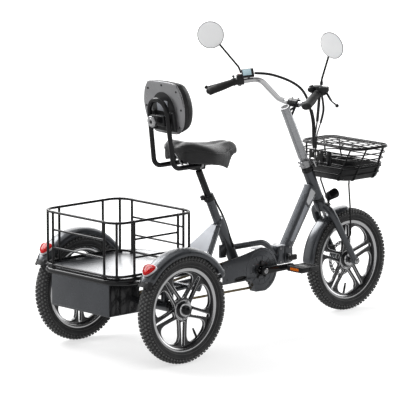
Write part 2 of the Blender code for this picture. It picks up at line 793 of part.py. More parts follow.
def backrest(shell_mat, pad_mat, bracket_mat):
    plate("backrest_shell", [back_outline()], 0.0045, back_place(0.0045), shell_mat)
    loft("backrest_pad", pad_rings(), pad_mat)
    rear = back_place(0)
    low, top = (-0.068, -0.085, -0.0165), (0.068, -0.010, -0.0004)
    cheek = box("cheek", low, top, bracket_mat, rear, bevel=0.002)
    low, top = (-0.0385, -0.062, -0.0410), (0.0385, -0.020, -0.0120)
    block = box("block", low, top, bracket_mat, rear, bevel=0.003)
    union("backrest_bracket", [cheek, block], bracket_mat)


def backrest_knob(mat):
    """Round clamp knob behind the backrest bracket."""
    start = back_place(0) @ Vector((0, KNOB_UP, -0.0414))
    axis = Vector((math.cos(BACK_LEAN), 0, math.sin(BACK_LEAN)))
    head = cylinder("head", start - axis * 0.031, start - axis * 0.017, 0.0225, mat, 20)
    stem = cylinder("stem", start - axis * 0.020, start, 0.008, mat, 12)
    return union("backrest_knob", [head, stem], mat)


def seat_clamp_hinge():
    """Where the clamp lever turns, about a vertical axis behind the seat tube."""
    return seat_point(SEAT_TUBE_TOP_Z - 0.013) + Vector((-0.0330, 0, 0.002))


def seat_clamp_lever(mat):
    """Quick-release lever at the back of the seat clamp."""
    hinge = seat_clamp_hinge()
    hub = cylinder("hub", hinge - Vector((0, 0, 0.009)), hinge + Vector((0, 0, 0.009)), 0.0075, mat, 12)
    reach = (Vector((0, 0.004, 0)), Vector((0.010, 0.022, 0)), Vector((0.048, 0.030, 0)))
    arm = tube("arm", rounded_path([hinge + step for step in reach], 0.02, 2), 0.0045, mat)
    return union("seat_clamp_lever", [hub, arm], mat)


# ---------------------------------------------------------------- front frame


def square_beam(name, start, end, half, half_end, half_y, mat, chamfer=0.006):
    """Tapering beam with a chamfered square section, in the middle plane."""
    start, end = Vector(start), Vector(end)
    along = (end - start).normalized()
    across_beam = Vector((along.z, 0, -along.x))
    rings = []
    for point, h in ((start, half), (end, half_end)):
        c = chamfer
        section = (
            (h, half_y - c), (h - c, half_y), (c - h, half_y), (-h, half_y - c),
            (-h, c - half_y), (c - h, -half_y), (h - c, -half_y), (h, c - half_y),
        )
        rings.append([point + across_beam * a + Vector((0, b, 0)) for a, b in section])
    return loft(name, rings, mat)


def front_frame(mat):
    """Front half of the fold hinge, down tube and head tube, welded into one."""
    beam = square_beam("beam", (0.818, 0, 0.2895), (0.966, 0, 0.525), 0.0205, 0.0235, 0.020, mat)
    head = cylinder("head", steer_point(HEAD_TOP_Z), steer_point(HEAD_LOW_Z), 0.022, mat, 16)
    foot = box("foot", (0.810, -0.022, 0.240), (0.846, 0.022, 0.300), mat, bevel=0.004)
    lug = hinge_lug("front_lug", 0.8015, 0.836, ((0.2640, 0.2860),), mat)
    whole = union("whole", [beam, head, foot] + lug, mat)
    bore = cylinder("bore", steer_point(0.64), steer_point(0.43), 0.0185, mat, 16)
    hole = cylinder("hole", (FOLD_X, FOLD_Y, 0.25), (FOLD_X, FOLD_Y, 0.30), 0.0041, mat, 10)
    return cut("front_frame", whole, [bore, hole], mat)


def fold_latch(mat):
    """Lever that locks the fold hinge, on its right side."""
    lever = box("lever", (0.806, -0.0450, 0.250), (0.850, -0.0270, 0.274), mat, bevel=0.003)
    eye = cylinder("eye", (0.812, -0.0360, 0.246), (0.812, -0.0360, 0.280), 0.006, mat, 12)
    return union("fold_latch_lever", [lever, eye], mat)


# ---------------------------------------------------------------- fork and front wheel side


def fork(mat):
    """Steerer tube, crown and two straight legs."""
    crown_top = steer_point(HEAD_LOW_Z - 0.002)
    crown = cylinder("crown", crown_top, steer_point(0.428), 0.024, mat, 16)
    steerer = cylinder("steerer", steer_point(COLLAR_TOP_Z), steer_point(0.450), 0.0168, mat, 16)
    pieces = [steerer]
    for _, side in SIDES:
        leg = [(1.022, 0.006, 0.444), (1.030, 0.046, 0.424)]
        leg += [(1.048, FORK_LEG_Y, 0.390), (WHEELBASE, FORK_LEG_Y, 0.206)]
        path = rounded_path(sided(leg, side), 0.03, 3)
        scale = [1.15] * (len(path) - 1) + [0.85]
        pieces.append(tube("leg", path, 0.0135, mat, 10, radii=scale))
    lug = box("lug", (1.032, -0.006, 0.438), (1.0535, 0.006, 0.448), mat)
    radial = Vector((-0.5264, 0, 0.8502))
    hub = Vector((WHEELBASE, 0, AXLE_Z))
    bridge = cylinder("bridge", hub + radial * 0.2222, hub + radial * 0.2700, 0.006, mat, 10)
    whole = union("whole", [crown, lug, bridge] + pieces, mat)
    bore = cylinder("bore", steer_point(0.66), steer_point(0.49), 0.0126, mat, 14)
    holes = cylinder("holes", (WHEELBASE, -0.08, AXLE_Z), (WHEELBASE, 0.08, AXLE_Z), 0.0055, mat, 10)
    return cut("fork", whole, [bore, holes], mat)


def front_fender(mat):
    profile = (
        (0.2105, -0.032), (0.2165, -0.030), (0.2205, -0.014),
        (0.2205, 0.014), (0.2165, 0.030), (0.2105, 0.032),
    )
    place = across(WHEELBASE, 0, AXLE_Z, math.radians(-92))
    return turned("front_fender", profile, place, mat, 12, math.radians(-87), 0.002, closed=False)


def ring_between(z, inset=0.0):
    """The basket's rounded rectangle at height z, as 3-D points."""
    share = (z - BASKET_LOW[3]) / (BASKET_TOP[3] - BASKET_LOW[3])
    x_low, x_top, half_y = (a + (b - a) * share for a, b in zip(BASKET_LOW[:3], BASKET_TOP[:3]))
    flat = rounded_rectangle(x_low + inset, x_top - inset, half_y - inset, BASKET_CORNER_R - inset)
    return [(x, y, z) for x, y in flat]


def basket(wall_mat, tray_mat):
    """Wire basket as a thin wall of its true outer shape, over a closed tray."""
    rings = [ring_between(BASKET_TRAY_Z + 0.0016), ring_between(BASKET_TOP[3])]
    wall = loft("basket_wall", rings, wall_mat, ends=False)
    add_wall(wall, BASKET_WALL)
    baked(wall, wall_mat)
    low = BASKET_LOW[3]
    block = loft("block", [ring_between(low), ring_between(BASKET_TRAY_Z)], tray_mat)
    top = ring_between(BASKET_TRAY_Z + 0.01, BASKET_WALL)
    inside = [tray_floor(low + BASKET_WALL, min(x for x, _, _ in top) + 0.0005), top]
    cut("basket_tray", block, [loft("inside", inside, tray_mat)], tray_mat)


def tray_floor(z, rear):
    """Outline of the tray's floor, starting at rear so that the leaning wall stays clear of it."""
    ring = ring_between(z, BASKET_WALL)
    front = max(x for x, _, _ in ring)
    half_y = max(y for _, y, _ in ring)
    return [(x, y, z) for x, y in rounded_rectangle(rear, front, half_y, BASKET_CORNER_R - BASKET_WALL)]


def add_wall(obj, thickness):
    shell = obj.modifiers.new("wall", "SOLIDIFY")
    shell.thickness = thickness
    shell.offset = -1
    shell.use_even_offset = True


def basket_lid(mat):
    """Wire lid over the basket: a bent frame and cross wires."""
    x_low, x_top, half_y, top = BASKET_TOP
    z = top + 0.0046
    frame = rounded_rectangle(x_low + 0.002, x_top - 0.002, half_y - 0.002, BASKET_CORNER_R)
    pieces = [tube("frame", [(x, y, z) for x, y in frame], 0.003, mat, 6, closed=True)]
    for i in range(1, 6):
        x = x_low + (x_top - x_low) * i / 6
        pieces.append(tube("wire", [(x, -half_y + 0.002, z), (x, half_y - 0.002, z)], 0.0022, mat, 6))
    return union("basket_lid", pieces, mat)


def basket_stay(mat):
    """One bent wire from the left leg of the fork, under the basket, to the right leg."""
    foot = [(1.1175, 0.0520, 0.3060), (1.140, 0.0500, 0.3125), (1.126, 0.0600, 0.426)]
    left = foot + [(1.097, 0.0800, 0.529), (1.100, 0.0800, 0.5487)]
    points = left + mirrored(reversed(left))
    return tube("basket_stay", rounded_path(points, 0.012, 2), STAY_R, mat, 6)


def basket_bracket(mat):
    """Ring on the steerer, between head tube and collar, with a plate for the back of the basket."""
    ring = cylinder("ring", steer_point(0.6095), steer_point(0.6022), 0.0225, mat, 16)
    arm = box("arm", (0.952, -0.011, 0.6115), (1.0160, 0.011, 0.6165), mat)
    rear = box("rear", (1.0130, -0.050, 0.6095), (1.0190, 0.050, 0.668), mat, bevel=0.001)
    whole = union("whole", [ring, arm, rear], mat)
    bore = cylinder("bore", steer_point(0.65), steer_point(0.58), 0.0172, mat, 16)
    return cut("basket_bracket", whole, [bore], mat)


def stem_collar(mat):
    """Clamp collar that grips the stem at the top of the steerer."""
    turn = steer_down().to_track_quat("Z", "Y").to_matrix().to_4x4()
    middle = steer_point((COLLAR_LOW_Z + COLLAR_TOP_Z) / 2)
    profile = ((0.0235, 0.016), (0.0235, -0.016), (0.0172, -0.016), (0.0172, 0.016))
    return turned("stem_collar", profile, Matrix.Translation(middle) @ turn, mat, 16)


def stem_clamp_lever(mat):
    middle = steer_point((COLLAR_LOW_Z + COLLAR_TOP_Z) / 2)
    start = middle + Vector((0.024, -0.022, 0.012))
    hub = cylinder("hub", start + Vector((0, -0.008, 0)), start + Vector((0, 0.008, 0)), 0.0065, mat, 12)
    arm = tube("arm", [start, start + Vector((0.012, -0.006, -0.030))], 0.004, mat)
    return union("stem_clamp_lever", [hub, arm], mat)


def brake_rotor(mat):
    rings = []
    for radius, count in ((0.072, 32), (0.0262, 24)):
        turns = [2 * math.pi * i / count for i in range(count)]
        rings.append([(radius * math.cos(a), radius * math.sin(a)) for a in turns])
    place = facing((WHEELBASE, 0.0252, AXLE_Z), (1, 0, 0), (0, 0, 1))
    return plate("brake_rotor", rings, 0.001, place, mat)


def brake_caliper(mat):
    """Disc brake caliper on the left leg of the fork, astride the rotor."""
    body = box("body", (1.082, 0.0190, 0.238), (1.122, 0.0370, 0.270), mat, bevel=0.003)
    slot = cylinder("slot", (WHEELBASE, 0.0232, AXLE_Z), (WHEELBASE, 0.0272, AXLE_Z), 0.0740, mat, 32)
    return cut("brake_caliper", body, [slot], mat)


def front_axle(mat):
    return baked(
        cylinder("front_axle", (WHEELBASE, -0.074, AXLE_Z), (WHEELBASE, 0.074, AXLE_Z), 0.0050, mat, 10), mat
    )


def headlamp(mat):
    """Lamp barrel on a short bracket ahead of the fork crown."""
    barrel = cylinder("barrel", (1.055, 0, 0.4725), (1.104, 0, 0.4855), 0.0175, mat, 20, 0.0200)
    foot = tube("foot", [(1.070, 0, 0.472), (1.060, 0, 0.443)], 0.0045, mat)
    eye = cylinder("eye", (1.060, -0.010, 0.443), (1.060, 0.010, 0.443), 0.006, mat, 12)
    return union("headlamp", [barrel, foot, eye], mat)


# ---------------------------------------------------------------- handlebar side


def bar_path(side_points):
    left = [Vector(p) for p in side_points]
    right = [Vector((p.x, -p.y, p.z)) for p in reversed(left[1:])]
    return rounded_path(right + left, 0.045, 4)


def handlebar(mat):
    return tube("handlebar", bar_path(BAR_POINTS + (GRIP_INNER,)), BAR_R, mat, 10)


def stem_post(mat):
    """Stem tube with the shaft that slides in the steerer, and the clamp that holds the bar."""
    post = cylinder("post", steer_point(COLLAR_TOP_Z + 0.004), steer_point(STEER_Z), 0.0185, mat, 16)
    shaft = cylinder("shaft", steer_point(COLLAR_TOP_Z + 0.010), steer_point(0.520), 0.0120, mat, 14)
    x, z = BAR_CLAMP
    clamp = cylinder("clamp", (x, -0.026, z), (x, 0.026, z), 0.0165, mat, 14)
    pieces = [shaft, clamp]
    for low in ((0.846, 0, 0.846), (0.856, 0, 0.822)):
        for _, side in SIDES:
            far = (x + (low[2] - 0.834) * 0.3 - 0.006, 0.018 * side, z - 0.010)
            pieces.append(tube("strut", [(low[0] - 0.012, 0.010 * side, low[2]), far], 0.0045, mat, 6))
    whole = union("whole", [post] + pieces, mat)
    bore = cylinder("bore", (x, -0.06, z), (x, 0.06, z), BAR_R + GAP, mat, 14)
    return cut("stem_post", whole, [bore], mat)


def grip(name, side, mat):
    inner, outer = (Vector(p) for p in sided([GRIP_INNER, GRIP_OUTER], side))
    start = inner + (outer - inner).normalized() * 0.0045
    return cylinder(name, start, outer, GRIP_R, mat, 14)


def bar_frame(side, share):
    """A place on the straight end of the bar: local X along the bar outwards, local Z up."""
    bend, inner = (Vector(p) for p in sided([BAR_POINTS[3], GRIP_INNER], side))
    along = (inner - bend).normalized()
    out = Vector((0.60, 0.79 * side, 0))
    origin = bend + (inner - bend) * share
    return facing(origin, along, out)


def bar_clamp(name, side, blocks, mat):
    """Blocks clamped round the straight end of the bar, bored for it."""
    place = bar_frame(side, 0.78)
    pieces = [box("block", low, top, mat, place, bevel=0.002) for low, top in blocks]
    whole = union("whole", pieces, mat) if len(pieces) > 1 else pieces[0]
    bend, inner = (Vector(p) for p in sided([BAR_POINTS[3], GRIP_INNER], side))
    along = (inner - bend).normalized()
    bore = cylinder("bore", bend - along * 0.004, inner + along * 0.05, BAR_R + GAP, mat, 14)
    slot = box("slot", (-0.040, 0.0200, -0.0050), (0.040, 0.0500, 0.0050), mat, place)
    return cut(name, whole, [bore, slot], mat)


def display(mat):
    """Speed display ahead of the left grip, on a bracket beside the bar."""
    place = facing((0.7905, 0.1830, 0.9790), (0.79, -0.60, 0.11), (0.40, 0.42, 0.80))
    return box("display", (-0.024, -0.018, -0.007), (0.024, 0.018, 0.007), mat, place, bevel=0.003)


def lever_points(side):
    """Start, knee and ball end of a brake lever, which sweeps out beyond its grip."""
    if side > 0:
        return (0.797, 0.249, 0.944), (0.752, 0.287, 0.934), (0.690, 0.317, 0.918)
    return (0.806, -0.247, 0.944), (0.790, -0.290, 0.918), (0.778, -0.333, 0.906)


def brake_lever(name, side, mat):
    start, knee, end = lever_points(side)
    blade = tube("blade", rounded_path([start, knee, end], 0.06, 3), 0.0042, mat)

    def fill(bm):
        bmesh.ops.create_uvsphere(bm, u_segments=10, v_segments=6, radius=0.0075)

    ball = solid("ball", fill, mat, Matrix.Translation(end))
    return union(name, [blade, ball], mat)


def mirror(name, side, mat):
    """Round mirror on a bent arm; its origin is at the foot of the arm."""
    centre = Vector((0.734, 0.340, 1.1215)) if side > 0 else Vector((0.740, -0.340, 1.1440))
    face = Vector((-0.812, -0.587, 0.022)) if side > 0 else Vector((-0.966, -0.133, -0.232))
    face.normalize()
    head = cylinder("head", centre - face * 0.013, centre, 0.042, mat, 20, 0.0540)
    points = sided([(0.796, 0.228, 0.9745), (0.790, 0.236, 0.9985)], side)
    inward = Vector(points[1]) - centre
    inward -= face * face.dot(inward)
    points.append(centre - face * 0.008 + inward.normalized() * 0.042)
    arm = tube("arm", rounded_path(points, 0.012, 2), 0.004, mat, 6)
    return union(name, [head, arm], mat)


def cable_bundle(name, side, mat):
    """The sleeve of cables from one end of the bar down to the head tube."""
    left = [
        (0.811, 0.165, 0.9790),
        (0.875, 0.140, 0.9700),
        (0.936, 0.100, 0.9440),
        (0.973, 0.070, 0.9120),
        (0.990, 0.050, 0.8710),
        (0.988, 0.030, 0.8300),
        (0.987, 0.015, 0.7838),
        (0.981, 0.005, 0.7293),
        (0.979, 0.000, 0.6780),
    ]
    right = [
        (0.862, -0.150, 0.9200),
        (0.886, -0.120, 0.8611),
        (0.924, -0.075, 0.8021),
        (0.9575, -0.030, 0.7358),
        (0.966, -0.016, 0.6811),
    ]
    return tube(name, left if side > 0 else right, 0.005, mat, 6)


# ---------------------------------------------------------------- the whole tricycle


def build():
    clear_scene()
    gunmetal = material("gunmetal_paint", (0.050, 0.054, 0.060), 0.32, 0.35)
    black = material("black_paint", (0.012, 0.012, 0.013), 0.38)
    silver = material("silver_deck", (0.42, 0.43, 0.46), 0.22, 0.7)
    chrome = material("chrome", (0.78, 0.78, 0.79), 0.12, 1.0)
    rim_mat = material("alloy_wheel", (0.10, 0.10, 0.105), 0.30, 0.9)
    rubber = material("tyre_rubber", (0.018, 0.018, 0.019), 0.85)
    grip_mat = material("grip_rubber", (0.015, 0.015, 0.015), 0.75)
    plastic = material("black_plastic", (0.020, 0.020, 0.021), 0.55)
    shell_mat = material("silver_plastic", (0.36, 0.36, 0.37), 0.40, 0.2)
    leather = material("black_leather", (0.022, 0.022, 0.023), 0.55)
    red = material("red_lens", (0.62, 0.01, 0.01), 0.15)
    steel = material("brushed_steel", (0.45, 0.45, 0.46), 0.30, 1.0)
    chain_steel = material("chain_steel", (0.16, 0.12, 0.08), 0.45, 0.9)

    casting = wheel_mesh(rim_mat)
    for word, side in SIDES:
        wheel(f"rear_{word}", casting, 0.0, HALF_TRACK * side, rim_mat, rubber)
        rear_fender(f"rear_fender_{word}", side, gunmetal)
        tail_light(f"tail_light_{word}", side, red)
        pedal(f"pedal_{word}", side, plastic)
        grip(f"grip_{word}", side, grip_mat)
        brake_lever(f"brake_lever_{word}", side, black)
        mirror(f"mirror_{word}", side, plastic)
        cable_bundle(f"cable_bundle_{word}", side, plastic)
    wheel("front", casting, WHEELBASE, 0.0, rim_mat, rubber, math.radians(36))

    main_frame(gunmetal)
    deck_and_gusset(silver)
    cargo_rack(black)
    box("battery_box", BOX_LOW, BOX_TOP, gunmetal, bevel=0.004)
    axle_housing(plastic)
    chain_case(gunmetal)
    chain(chain_steel)
    seat_collar(steel)
    rear_sprocket(chain_steel)
    crankset(black)
    seat_post(black)
    saddle_base(black)
    loft("saddle", saddle_rings(), leather)
    backrest_loop(black)
    backrest(shell_mat, leather, plastic)
    backrest_knob(steel)
    seat_clamp_lever(plastic)
    front_frame(gunmetal)
    fold_latch(plastic)
    fork(gunmetal)
    front_fender(gunmetal)
    basket(black, plastic)
    basket_lid(black)
    basket_bracket(black)
    basket_stay(black)
    stem_collar(steel)
    stem_clamp_lever(steel)
    brake_rotor(steel)
    brake_caliper(plastic)
    front_axle(steel)
    headlamp(plastic)
    stem_post(gunmetal)
    handlebar(chrome)
    display(plastic)
    left_blocks = (
        ((-0.014, -0.016, -0.0275), (0.014, 0.016, 0.017)),
        ((-0.008, 0.008, -0.010), (0.022, 0.034, 0.010)),
    )
    right_blocks = (
        ((-0.022, -0.018, -0.018), (0.012, 0.018, 0.0275)),
        ((-0.008, 0.008, 0.0052), (0.020, 0.046, 0.026)),
    )
    bar_clamp("control_left", 1, left_blocks, plastic)
    bar_clamp("control_right", -1, right_blocks, plastic)


def centre_origin():
    """Moves everything so that the origin lies midway along the tricycle, on the ground."""
    for obj in parts.objects:
        if obj.parent is None:
            obj.location.x -= MIDDLE_X


build()
centre_origin()
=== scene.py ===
"""Looks of the adult cargo tricycle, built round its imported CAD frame. Metres, +X forward, +Z up."""

import math
import random

import bmesh
import bpy
import numpy as np
from mathutils import Matrix, Vector, noise

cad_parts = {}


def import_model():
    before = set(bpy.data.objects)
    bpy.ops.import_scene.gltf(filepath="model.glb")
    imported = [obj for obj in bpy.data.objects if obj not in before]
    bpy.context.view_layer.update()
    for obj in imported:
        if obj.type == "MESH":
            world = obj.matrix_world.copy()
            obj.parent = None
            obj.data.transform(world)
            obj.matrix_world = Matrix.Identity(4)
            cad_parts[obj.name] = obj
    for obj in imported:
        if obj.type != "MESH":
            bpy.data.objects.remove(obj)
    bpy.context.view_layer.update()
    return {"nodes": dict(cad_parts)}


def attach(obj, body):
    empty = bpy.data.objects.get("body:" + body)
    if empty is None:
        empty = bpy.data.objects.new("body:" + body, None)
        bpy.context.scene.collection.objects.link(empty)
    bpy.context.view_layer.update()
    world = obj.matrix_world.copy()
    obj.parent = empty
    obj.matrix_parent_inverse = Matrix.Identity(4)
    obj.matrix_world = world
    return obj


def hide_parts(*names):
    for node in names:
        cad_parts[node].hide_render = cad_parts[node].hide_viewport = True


SIDES = (("left", 1), ("right", -1))
AXLE_Z = 0.2075
WHEELBASE = 1.1625
SHIFT = Vector((-0.5523, 0, 0))
HALF_TRACK = 0.297
CRANK = Vector((0.610, 0, 0.247))
CRANK_LENGTH = 0.148
CHAIN_Y = -0.062
PLATFORM = (-0.2545, 0.235, 0.2235, 0.325)
RACK = (-0.2545, 0.1446, 0.216, 0.060)
BASKET_TOP = (1.0600, 1.2470, 0.172, 0.680)
BASKET_LOW = (1.0245, 1.2270, 0.131, 0.552)
BACK_LEAN = math.radians(8.2)


# ---------------------------------------------------------------- materials


class Nodes:
    """A material's node tree, with short calls for the few node types used here."""

    def __init__(self, name):
        self.mat = bpy.data.materials.new(name)
        self.mat.use_nodes = True
        self.tree = self.mat.node_tree
        self.shader = self.tree.nodes["Principled BSDF"]
        self.place = self.add("ShaderNodeTexCoord").outputs["Object"]

    def add(self, kind, **values):
        node = self.tree.nodes.new(kind)
        for key, value in values.items():
            if hasattr(node, key):
                setattr(node, key, value)
            else:
                node.inputs[key.replace("_", " ")].default_value = value
        return node

    def join(self, out, into):
        self.tree.links.new(out, into)

    def noise(self, scale, detail=3.0, stretch=None):
        made = self.add("ShaderNodeTexNoise", Scale=scale, Detail=detail)
        where = self.place
        if stretch:
            mapping = self.add("ShaderNodeMapping", Scale=stretch)
            self.join(where, mapping.inputs["Vector"])
            where = mapping.outputs["Vector"]
        self.join(where, made.inputs["Vector"])
        return made.outputs["Fac"]

    def spread(self, value, low, high, start=0.3, end=0.7):
        made = self.add("ShaderNodeMapRange")
        made.inputs["From Min"].default_value = start
        made.inputs["From Max"].default_value = end
        made.inputs["To Min"].default_value = low
        made.inputs["To Max"].default_value = high
        self.join(value, made.inputs["Value"])
        return made.outputs["Result"]

    def blend(self, share, first, second):
        made = self.add("ShaderNodeMix", data_type="RGBA")
        self.join(share, made.inputs[0])
        for value, socket in ((first, made.inputs[6]), (second, made.inputs[7])):
            if isinstance(value, tuple):
                socket.default_value = (*value, 1)
            else:
                self.join(value, socket)
        return made.outputs[2]

    def bump(self, height, distance, strength=1.0, under=None):
        made = self.add("ShaderNodeBump", Strength=strength, Distance=distance)
        self.join(height, made.inputs["Height"])
        if under:
            self.join(under, made.inputs["Normal"])
        return made.outputs["Normal"]

    def set(self, **values):
        for key, value in values.items():
            socket = self.shader.inputs[key.replace("_", " ")]
            if isinstance(value, bpy.types.NodeSocket):
                self.join(value, socket)
            else:
                socket.default_value = (*value, 1) if isinstance(value, tuple) else value
        return self


def shaded(colour, share):
    return tuple(min(1.0, c * share) for c in colour)


def paint(name, colour, rough, metal, coat=0.0, grain=900.0, relief=0.00002, wear=0.12, shine=0.5):
    """Painted or coated metal: fine grain, uneven gloss, and edges rubbed a little lighter."""
    n = Nodes(name)
    tone = n.blend(n.spread(n.noise(9.0), 0, 1), shaded(colour, 0.88), shaded(colour, 1.12))
    edge = n.spread(n.add("ShaderNodeNewGeometry").outputs["Pointiness"], 0, wear, 0.52, 0.60)
    n.set(Base_Color=n.blend(edge, tone, shaded(colour, 3.0)))
    n.set(Roughness=n.spread(n.noise(45.0, 5.0), rough * 0.85, rough * 1.2), Metallic=metal)
    n.set(Coat_Weight=coat, Coat_Roughness=0.08, Normal=n.bump(n.noise(grain), relief), Specular_IOR_Level=shine)
    return n.mat


def polished(name, colour, rough, stretch=None):
    """Bare or plated metal with fine scratches along one direction."""
    n = Nodes(name)
    lines = n.noise(160.0, 4.0, stretch or (1, 1, 1))
    n.set(Base_Color=n.blend(n.spread(n.noise(14.0), 0, 1), shaded(colour, 0.9), colour))
    n.set(Roughness=n.spread(lines, rough * 0.7, rough * 1.4), Metallic=1.0)
    n.set(Normal=n.bump(lines, 0.00001))
    return n.mat


def sheet(name, dark, light):
    """Silver sheet with a painted reflection: dark and more metallic towards the rear left corner, bright and less
    metallic towards the front right, with fine brushing along it.
    """
    n = Nodes(name)
    way = n.add("ShaderNodeVectorMath", operation="DOT_PRODUCT")
    n.join(n.place, way.inputs[0])
    way.inputs[1].default_value = (0.9, -2.2, 0)
    share = n.spread(way.outputs["Value"], 0, 1, -0.42, 0.30)
    lines = n.noise(130.0, 3.0, (1, 14, 1))
    n.set(Base_Color=n.blend(share, dark, light), Metallic=n.spread(share, 0.9, 0.25, 0.0, 1.0))
    n.set(Roughness=n.spread(lines, 0.24, 0.36), Normal=n.bump(lines, 0.000006))
    return n.mat


def moulded(name, colour, rough, relief=0.00004, grain=1400.0):
    """Moulded plastic or rubber: fine spark-eroded grain."""
    n = Nodes(name)
    tone = n.blend(n.spread(n.noise(20.0), 0, 1), shaded(colour, 0.8), shaded(colour, 1.25))
    n.set(Base_Color=tone, Roughness=n.spread(n.noise(70.0), rough * 0.85, min(1, rough * 1.15)))
    n.set(Normal=n.bump(n.noise(grain, 2.0), relief))
    return n.mat


def vinyl(name, colour, rough):
    """Grained vinyl: small cells between fine creases, over slow unevenness; the creases are painted darker, a painted
    shade.
    """
    n = Nodes(name)
    cells = n.add("ShaderNodeTexVoronoi", feature="DISTANCE_TO_EDGE", Scale=520.0)
    n.join(n.place, cells.inputs["Vector"])
    crease = n.spread(cells.outputs["Distance"], 0, 1, 0.0, 0.25)
    low = n.bump(n.noise(24.0, 4.0), 0.0006)
    n.set(Normal=n.bump(crease, 0.00012, 0.8, low))
    tone = n.blend(n.spread(n.noise(11.0), 0, 1), shaded(colour, 0.82), shaded(colour, 1.2))
    # Painted shade: the creases darken the colour to under half.
    n.set(Base_Color=n.blend(crease, shaded(colour, 0.45), tone))
    n.set(Roughness=n.spread(n.noise(60.0, 4.0), rough * 0.85, rough * 1.15), Sheen_Weight=0.08)
    return n.mat


def lens(name, colour, pattern, glow=0.0):
    """Clear coloured plastic over a field of small prisms, each painted lighter at its middle and darker towards its
    edges: painted light and shade.
    """
    n = Nodes(name)
    cells = n.add("ShaderNodeTexVoronoi", feature="F1", Scale=pattern)
    n.join(n.place, cells.inputs["Vector"])
    deep = n.spread(cells.outputs["Distance"], 0, 1, 0.1, 0.7)
    n.set(Base_Color=n.blend(deep, shaded(colour, 1.25), shaded(colour, 0.45)), Roughness=0.12)
    n.set(Normal=n.bump(deep, 0.0006), Coat_Weight=0.25, Coat_Roughness=0.03, Specular_IOR_Level=0.3)
    n.set(Emission_Color=colour, Emission_Strength=glow)
    return n.mat


def screen(name):
    """Pale display glass with plain blocks, and no figures."""
    n = Nodes(name)
    bricks = n.add("ShaderNodeTexBrick", Scale=70.0)
    n.join(n.place, bricks.inputs["Vector"])
    bricks.inputs["Color1"].default_value = (0.42, 0.58, 0.64, 1)
    bricks.inputs["Color2"].default_value = (0.50, 0.65, 0.70, 1)
    bricks.inputs["Mortar"].default_value = (0.32, 0.46, 0.52, 1)
    n.set(Base_Color=bricks.outputs["Color"], Roughness=0.1, Coat_Weight=1.0)
    n.set(Emission_Color=(0.50, 0.74, 0.82), Emission_Strength=0.12)
    return n.mat


def tyre_rubber(name):
    n = Nodes(name)
    dust = n.spread(n.noise(26.0, 6.0), 0, 1, 0.45, 0.75)
    # Painted highlight: block and rib edges are painted lighter grey, standing in for light caught on the tread.
    edge_highlight = n.spread(n.add("ShaderNodeNewGeometry").outputs["Pointiness"], 0, 0.6, 0.51, 0.58)
    dusty = n.blend(dust, (0.018, 0.018, 0.019), (0.040, 0.040, 0.040))
    n.set(Base_Color=n.blend(edge_highlight, dusty, (0.20, 0.20, 0.20)))
    n.set(Roughness=n.spread(n.noise(120.0), 0.62, 0.85), Normal=n.bump(n.noise(700.0), 0.00015))
    return n.mat


def painted_mirror_reflection(name):
    n = Nodes(name)
    # Painted reflection: the glass is a pale, almost white, non-metallic colour that glows a little, not a mirror.
    n.set(Base_Color=n.blend(n.spread(n.noise(6.0), 0, 1), (0.93, 0.94, 0.95), (0.98, 0.98, 0.98)))
    n.set(Metallic=0.0, Roughness=n.spread(n.noise(30.0), 0.16, 0.20), Coat_Weight=0.6)
    n.set(Emission_Color=(1.0, 1.0, 1.0), Emission_Strength=0.16)
    return n.mat


def make_materials():
    return {
        "gunmetal": paint("gunmetal", (0.085, 0.090, 0.099), 0.30, 0.72, 0.55, relief=0.000012),
        "black": paint("black_coat", (0.009, 0.009, 0.010), 0.20, 0.0, 0.25, relief=0.000004, wear=0.0, shine=0.25),
        "stem": paint("grey_stem", (0.50, 0.51, 0.53), 0.26, 0.70, 0.3, relief=0.000003, wear=0.0),
        "gloss": paint("black_gloss", (0.008, 0.008, 0.009), 0.15, 0.0, 0.30, relief=0.000003, wear=0.0, shine=0.25),
        "deck": sheet("silver_sheet_painted_reflection", (0.10, 0.105, 0.115), (0.94, 0.95, 0.97)),
        "panel": paint("silver_panel", (0.40, 0.415, 0.45), 0.50, 0.0, 0.0, relief=0.00001, wear=0.0, shine=0.2),
        "slope": paint("pale_slope", (0.50, 0.515, 0.55), 0.55, 0.0, 0.0, relief=0.00001, wear=0.0, shine=0.15),
        "pale": paint("pale_panel", (0.78, 0.79, 0.81), 0.40, 0.10, 0.2, relief=0.00001, wear=0.0),
        "chrome": polished("chrome_plate", (0.80, 0.80, 0.81), 0.07),
        "alloy": polished("machined_alloy", (0.74, 0.74, 0.75), 0.16, (1, 8, 1)),
        "steel": polished("satin_steel", (0.50, 0.50, 0.51), 0.26),
        "casting": paint("dark_casting", (0.020, 0.020, 0.022), 0.22, 0.45, 0.6),
        "tyre": tyre_rubber("tyre"),
        "rubber": moulded("soft_rubber", (0.018, 0.018, 0.018), 0.62, 0.0001, 900.0),
        "plastic": moulded("black_plastic", (0.017, 0.017, 0.018), 0.42),
        "shell": paint("shell_silver", (0.42, 0.42, 0.43), 0.30, 0.80, 0.3, relief=0.00003, wear=0.0),
        "vinyl": vinyl("black_vinyl", (0.026, 0.026, 0.027), 0.44),
        "thread": moulded("stitching", (0.05, 0.05, 0.052), 0.8),
        "red": lens("red_lens", (0.62, 0.001, 0.002), 210.0, 0.12),
        # The pedal reflectors glow a little though they are no lamps: a painted glow.
        "orange": lens("orange_lens_painted_glow", (0.95, 0.19, 0.01), 260.0, 0.12),
        "trim": moulded("light_trim", (0.62, 0.62, 0.64), 0.25),
        "clear": lens("clear_lens", (0.75, 0.78, 0.80), 300.0),
        "screen": screen("display_glass"),
        "mirror": painted_mirror_reflection("painted_mirror_reflection"),
        "chain": polished("chain_steel", (0.24, 0.19, 0.11), 0.42),
        "cable": moulded("cable_sheath", (0.014, 0.014, 0.015), 0.5),
    }


# ---------------------------------------------------------------- mesh tools


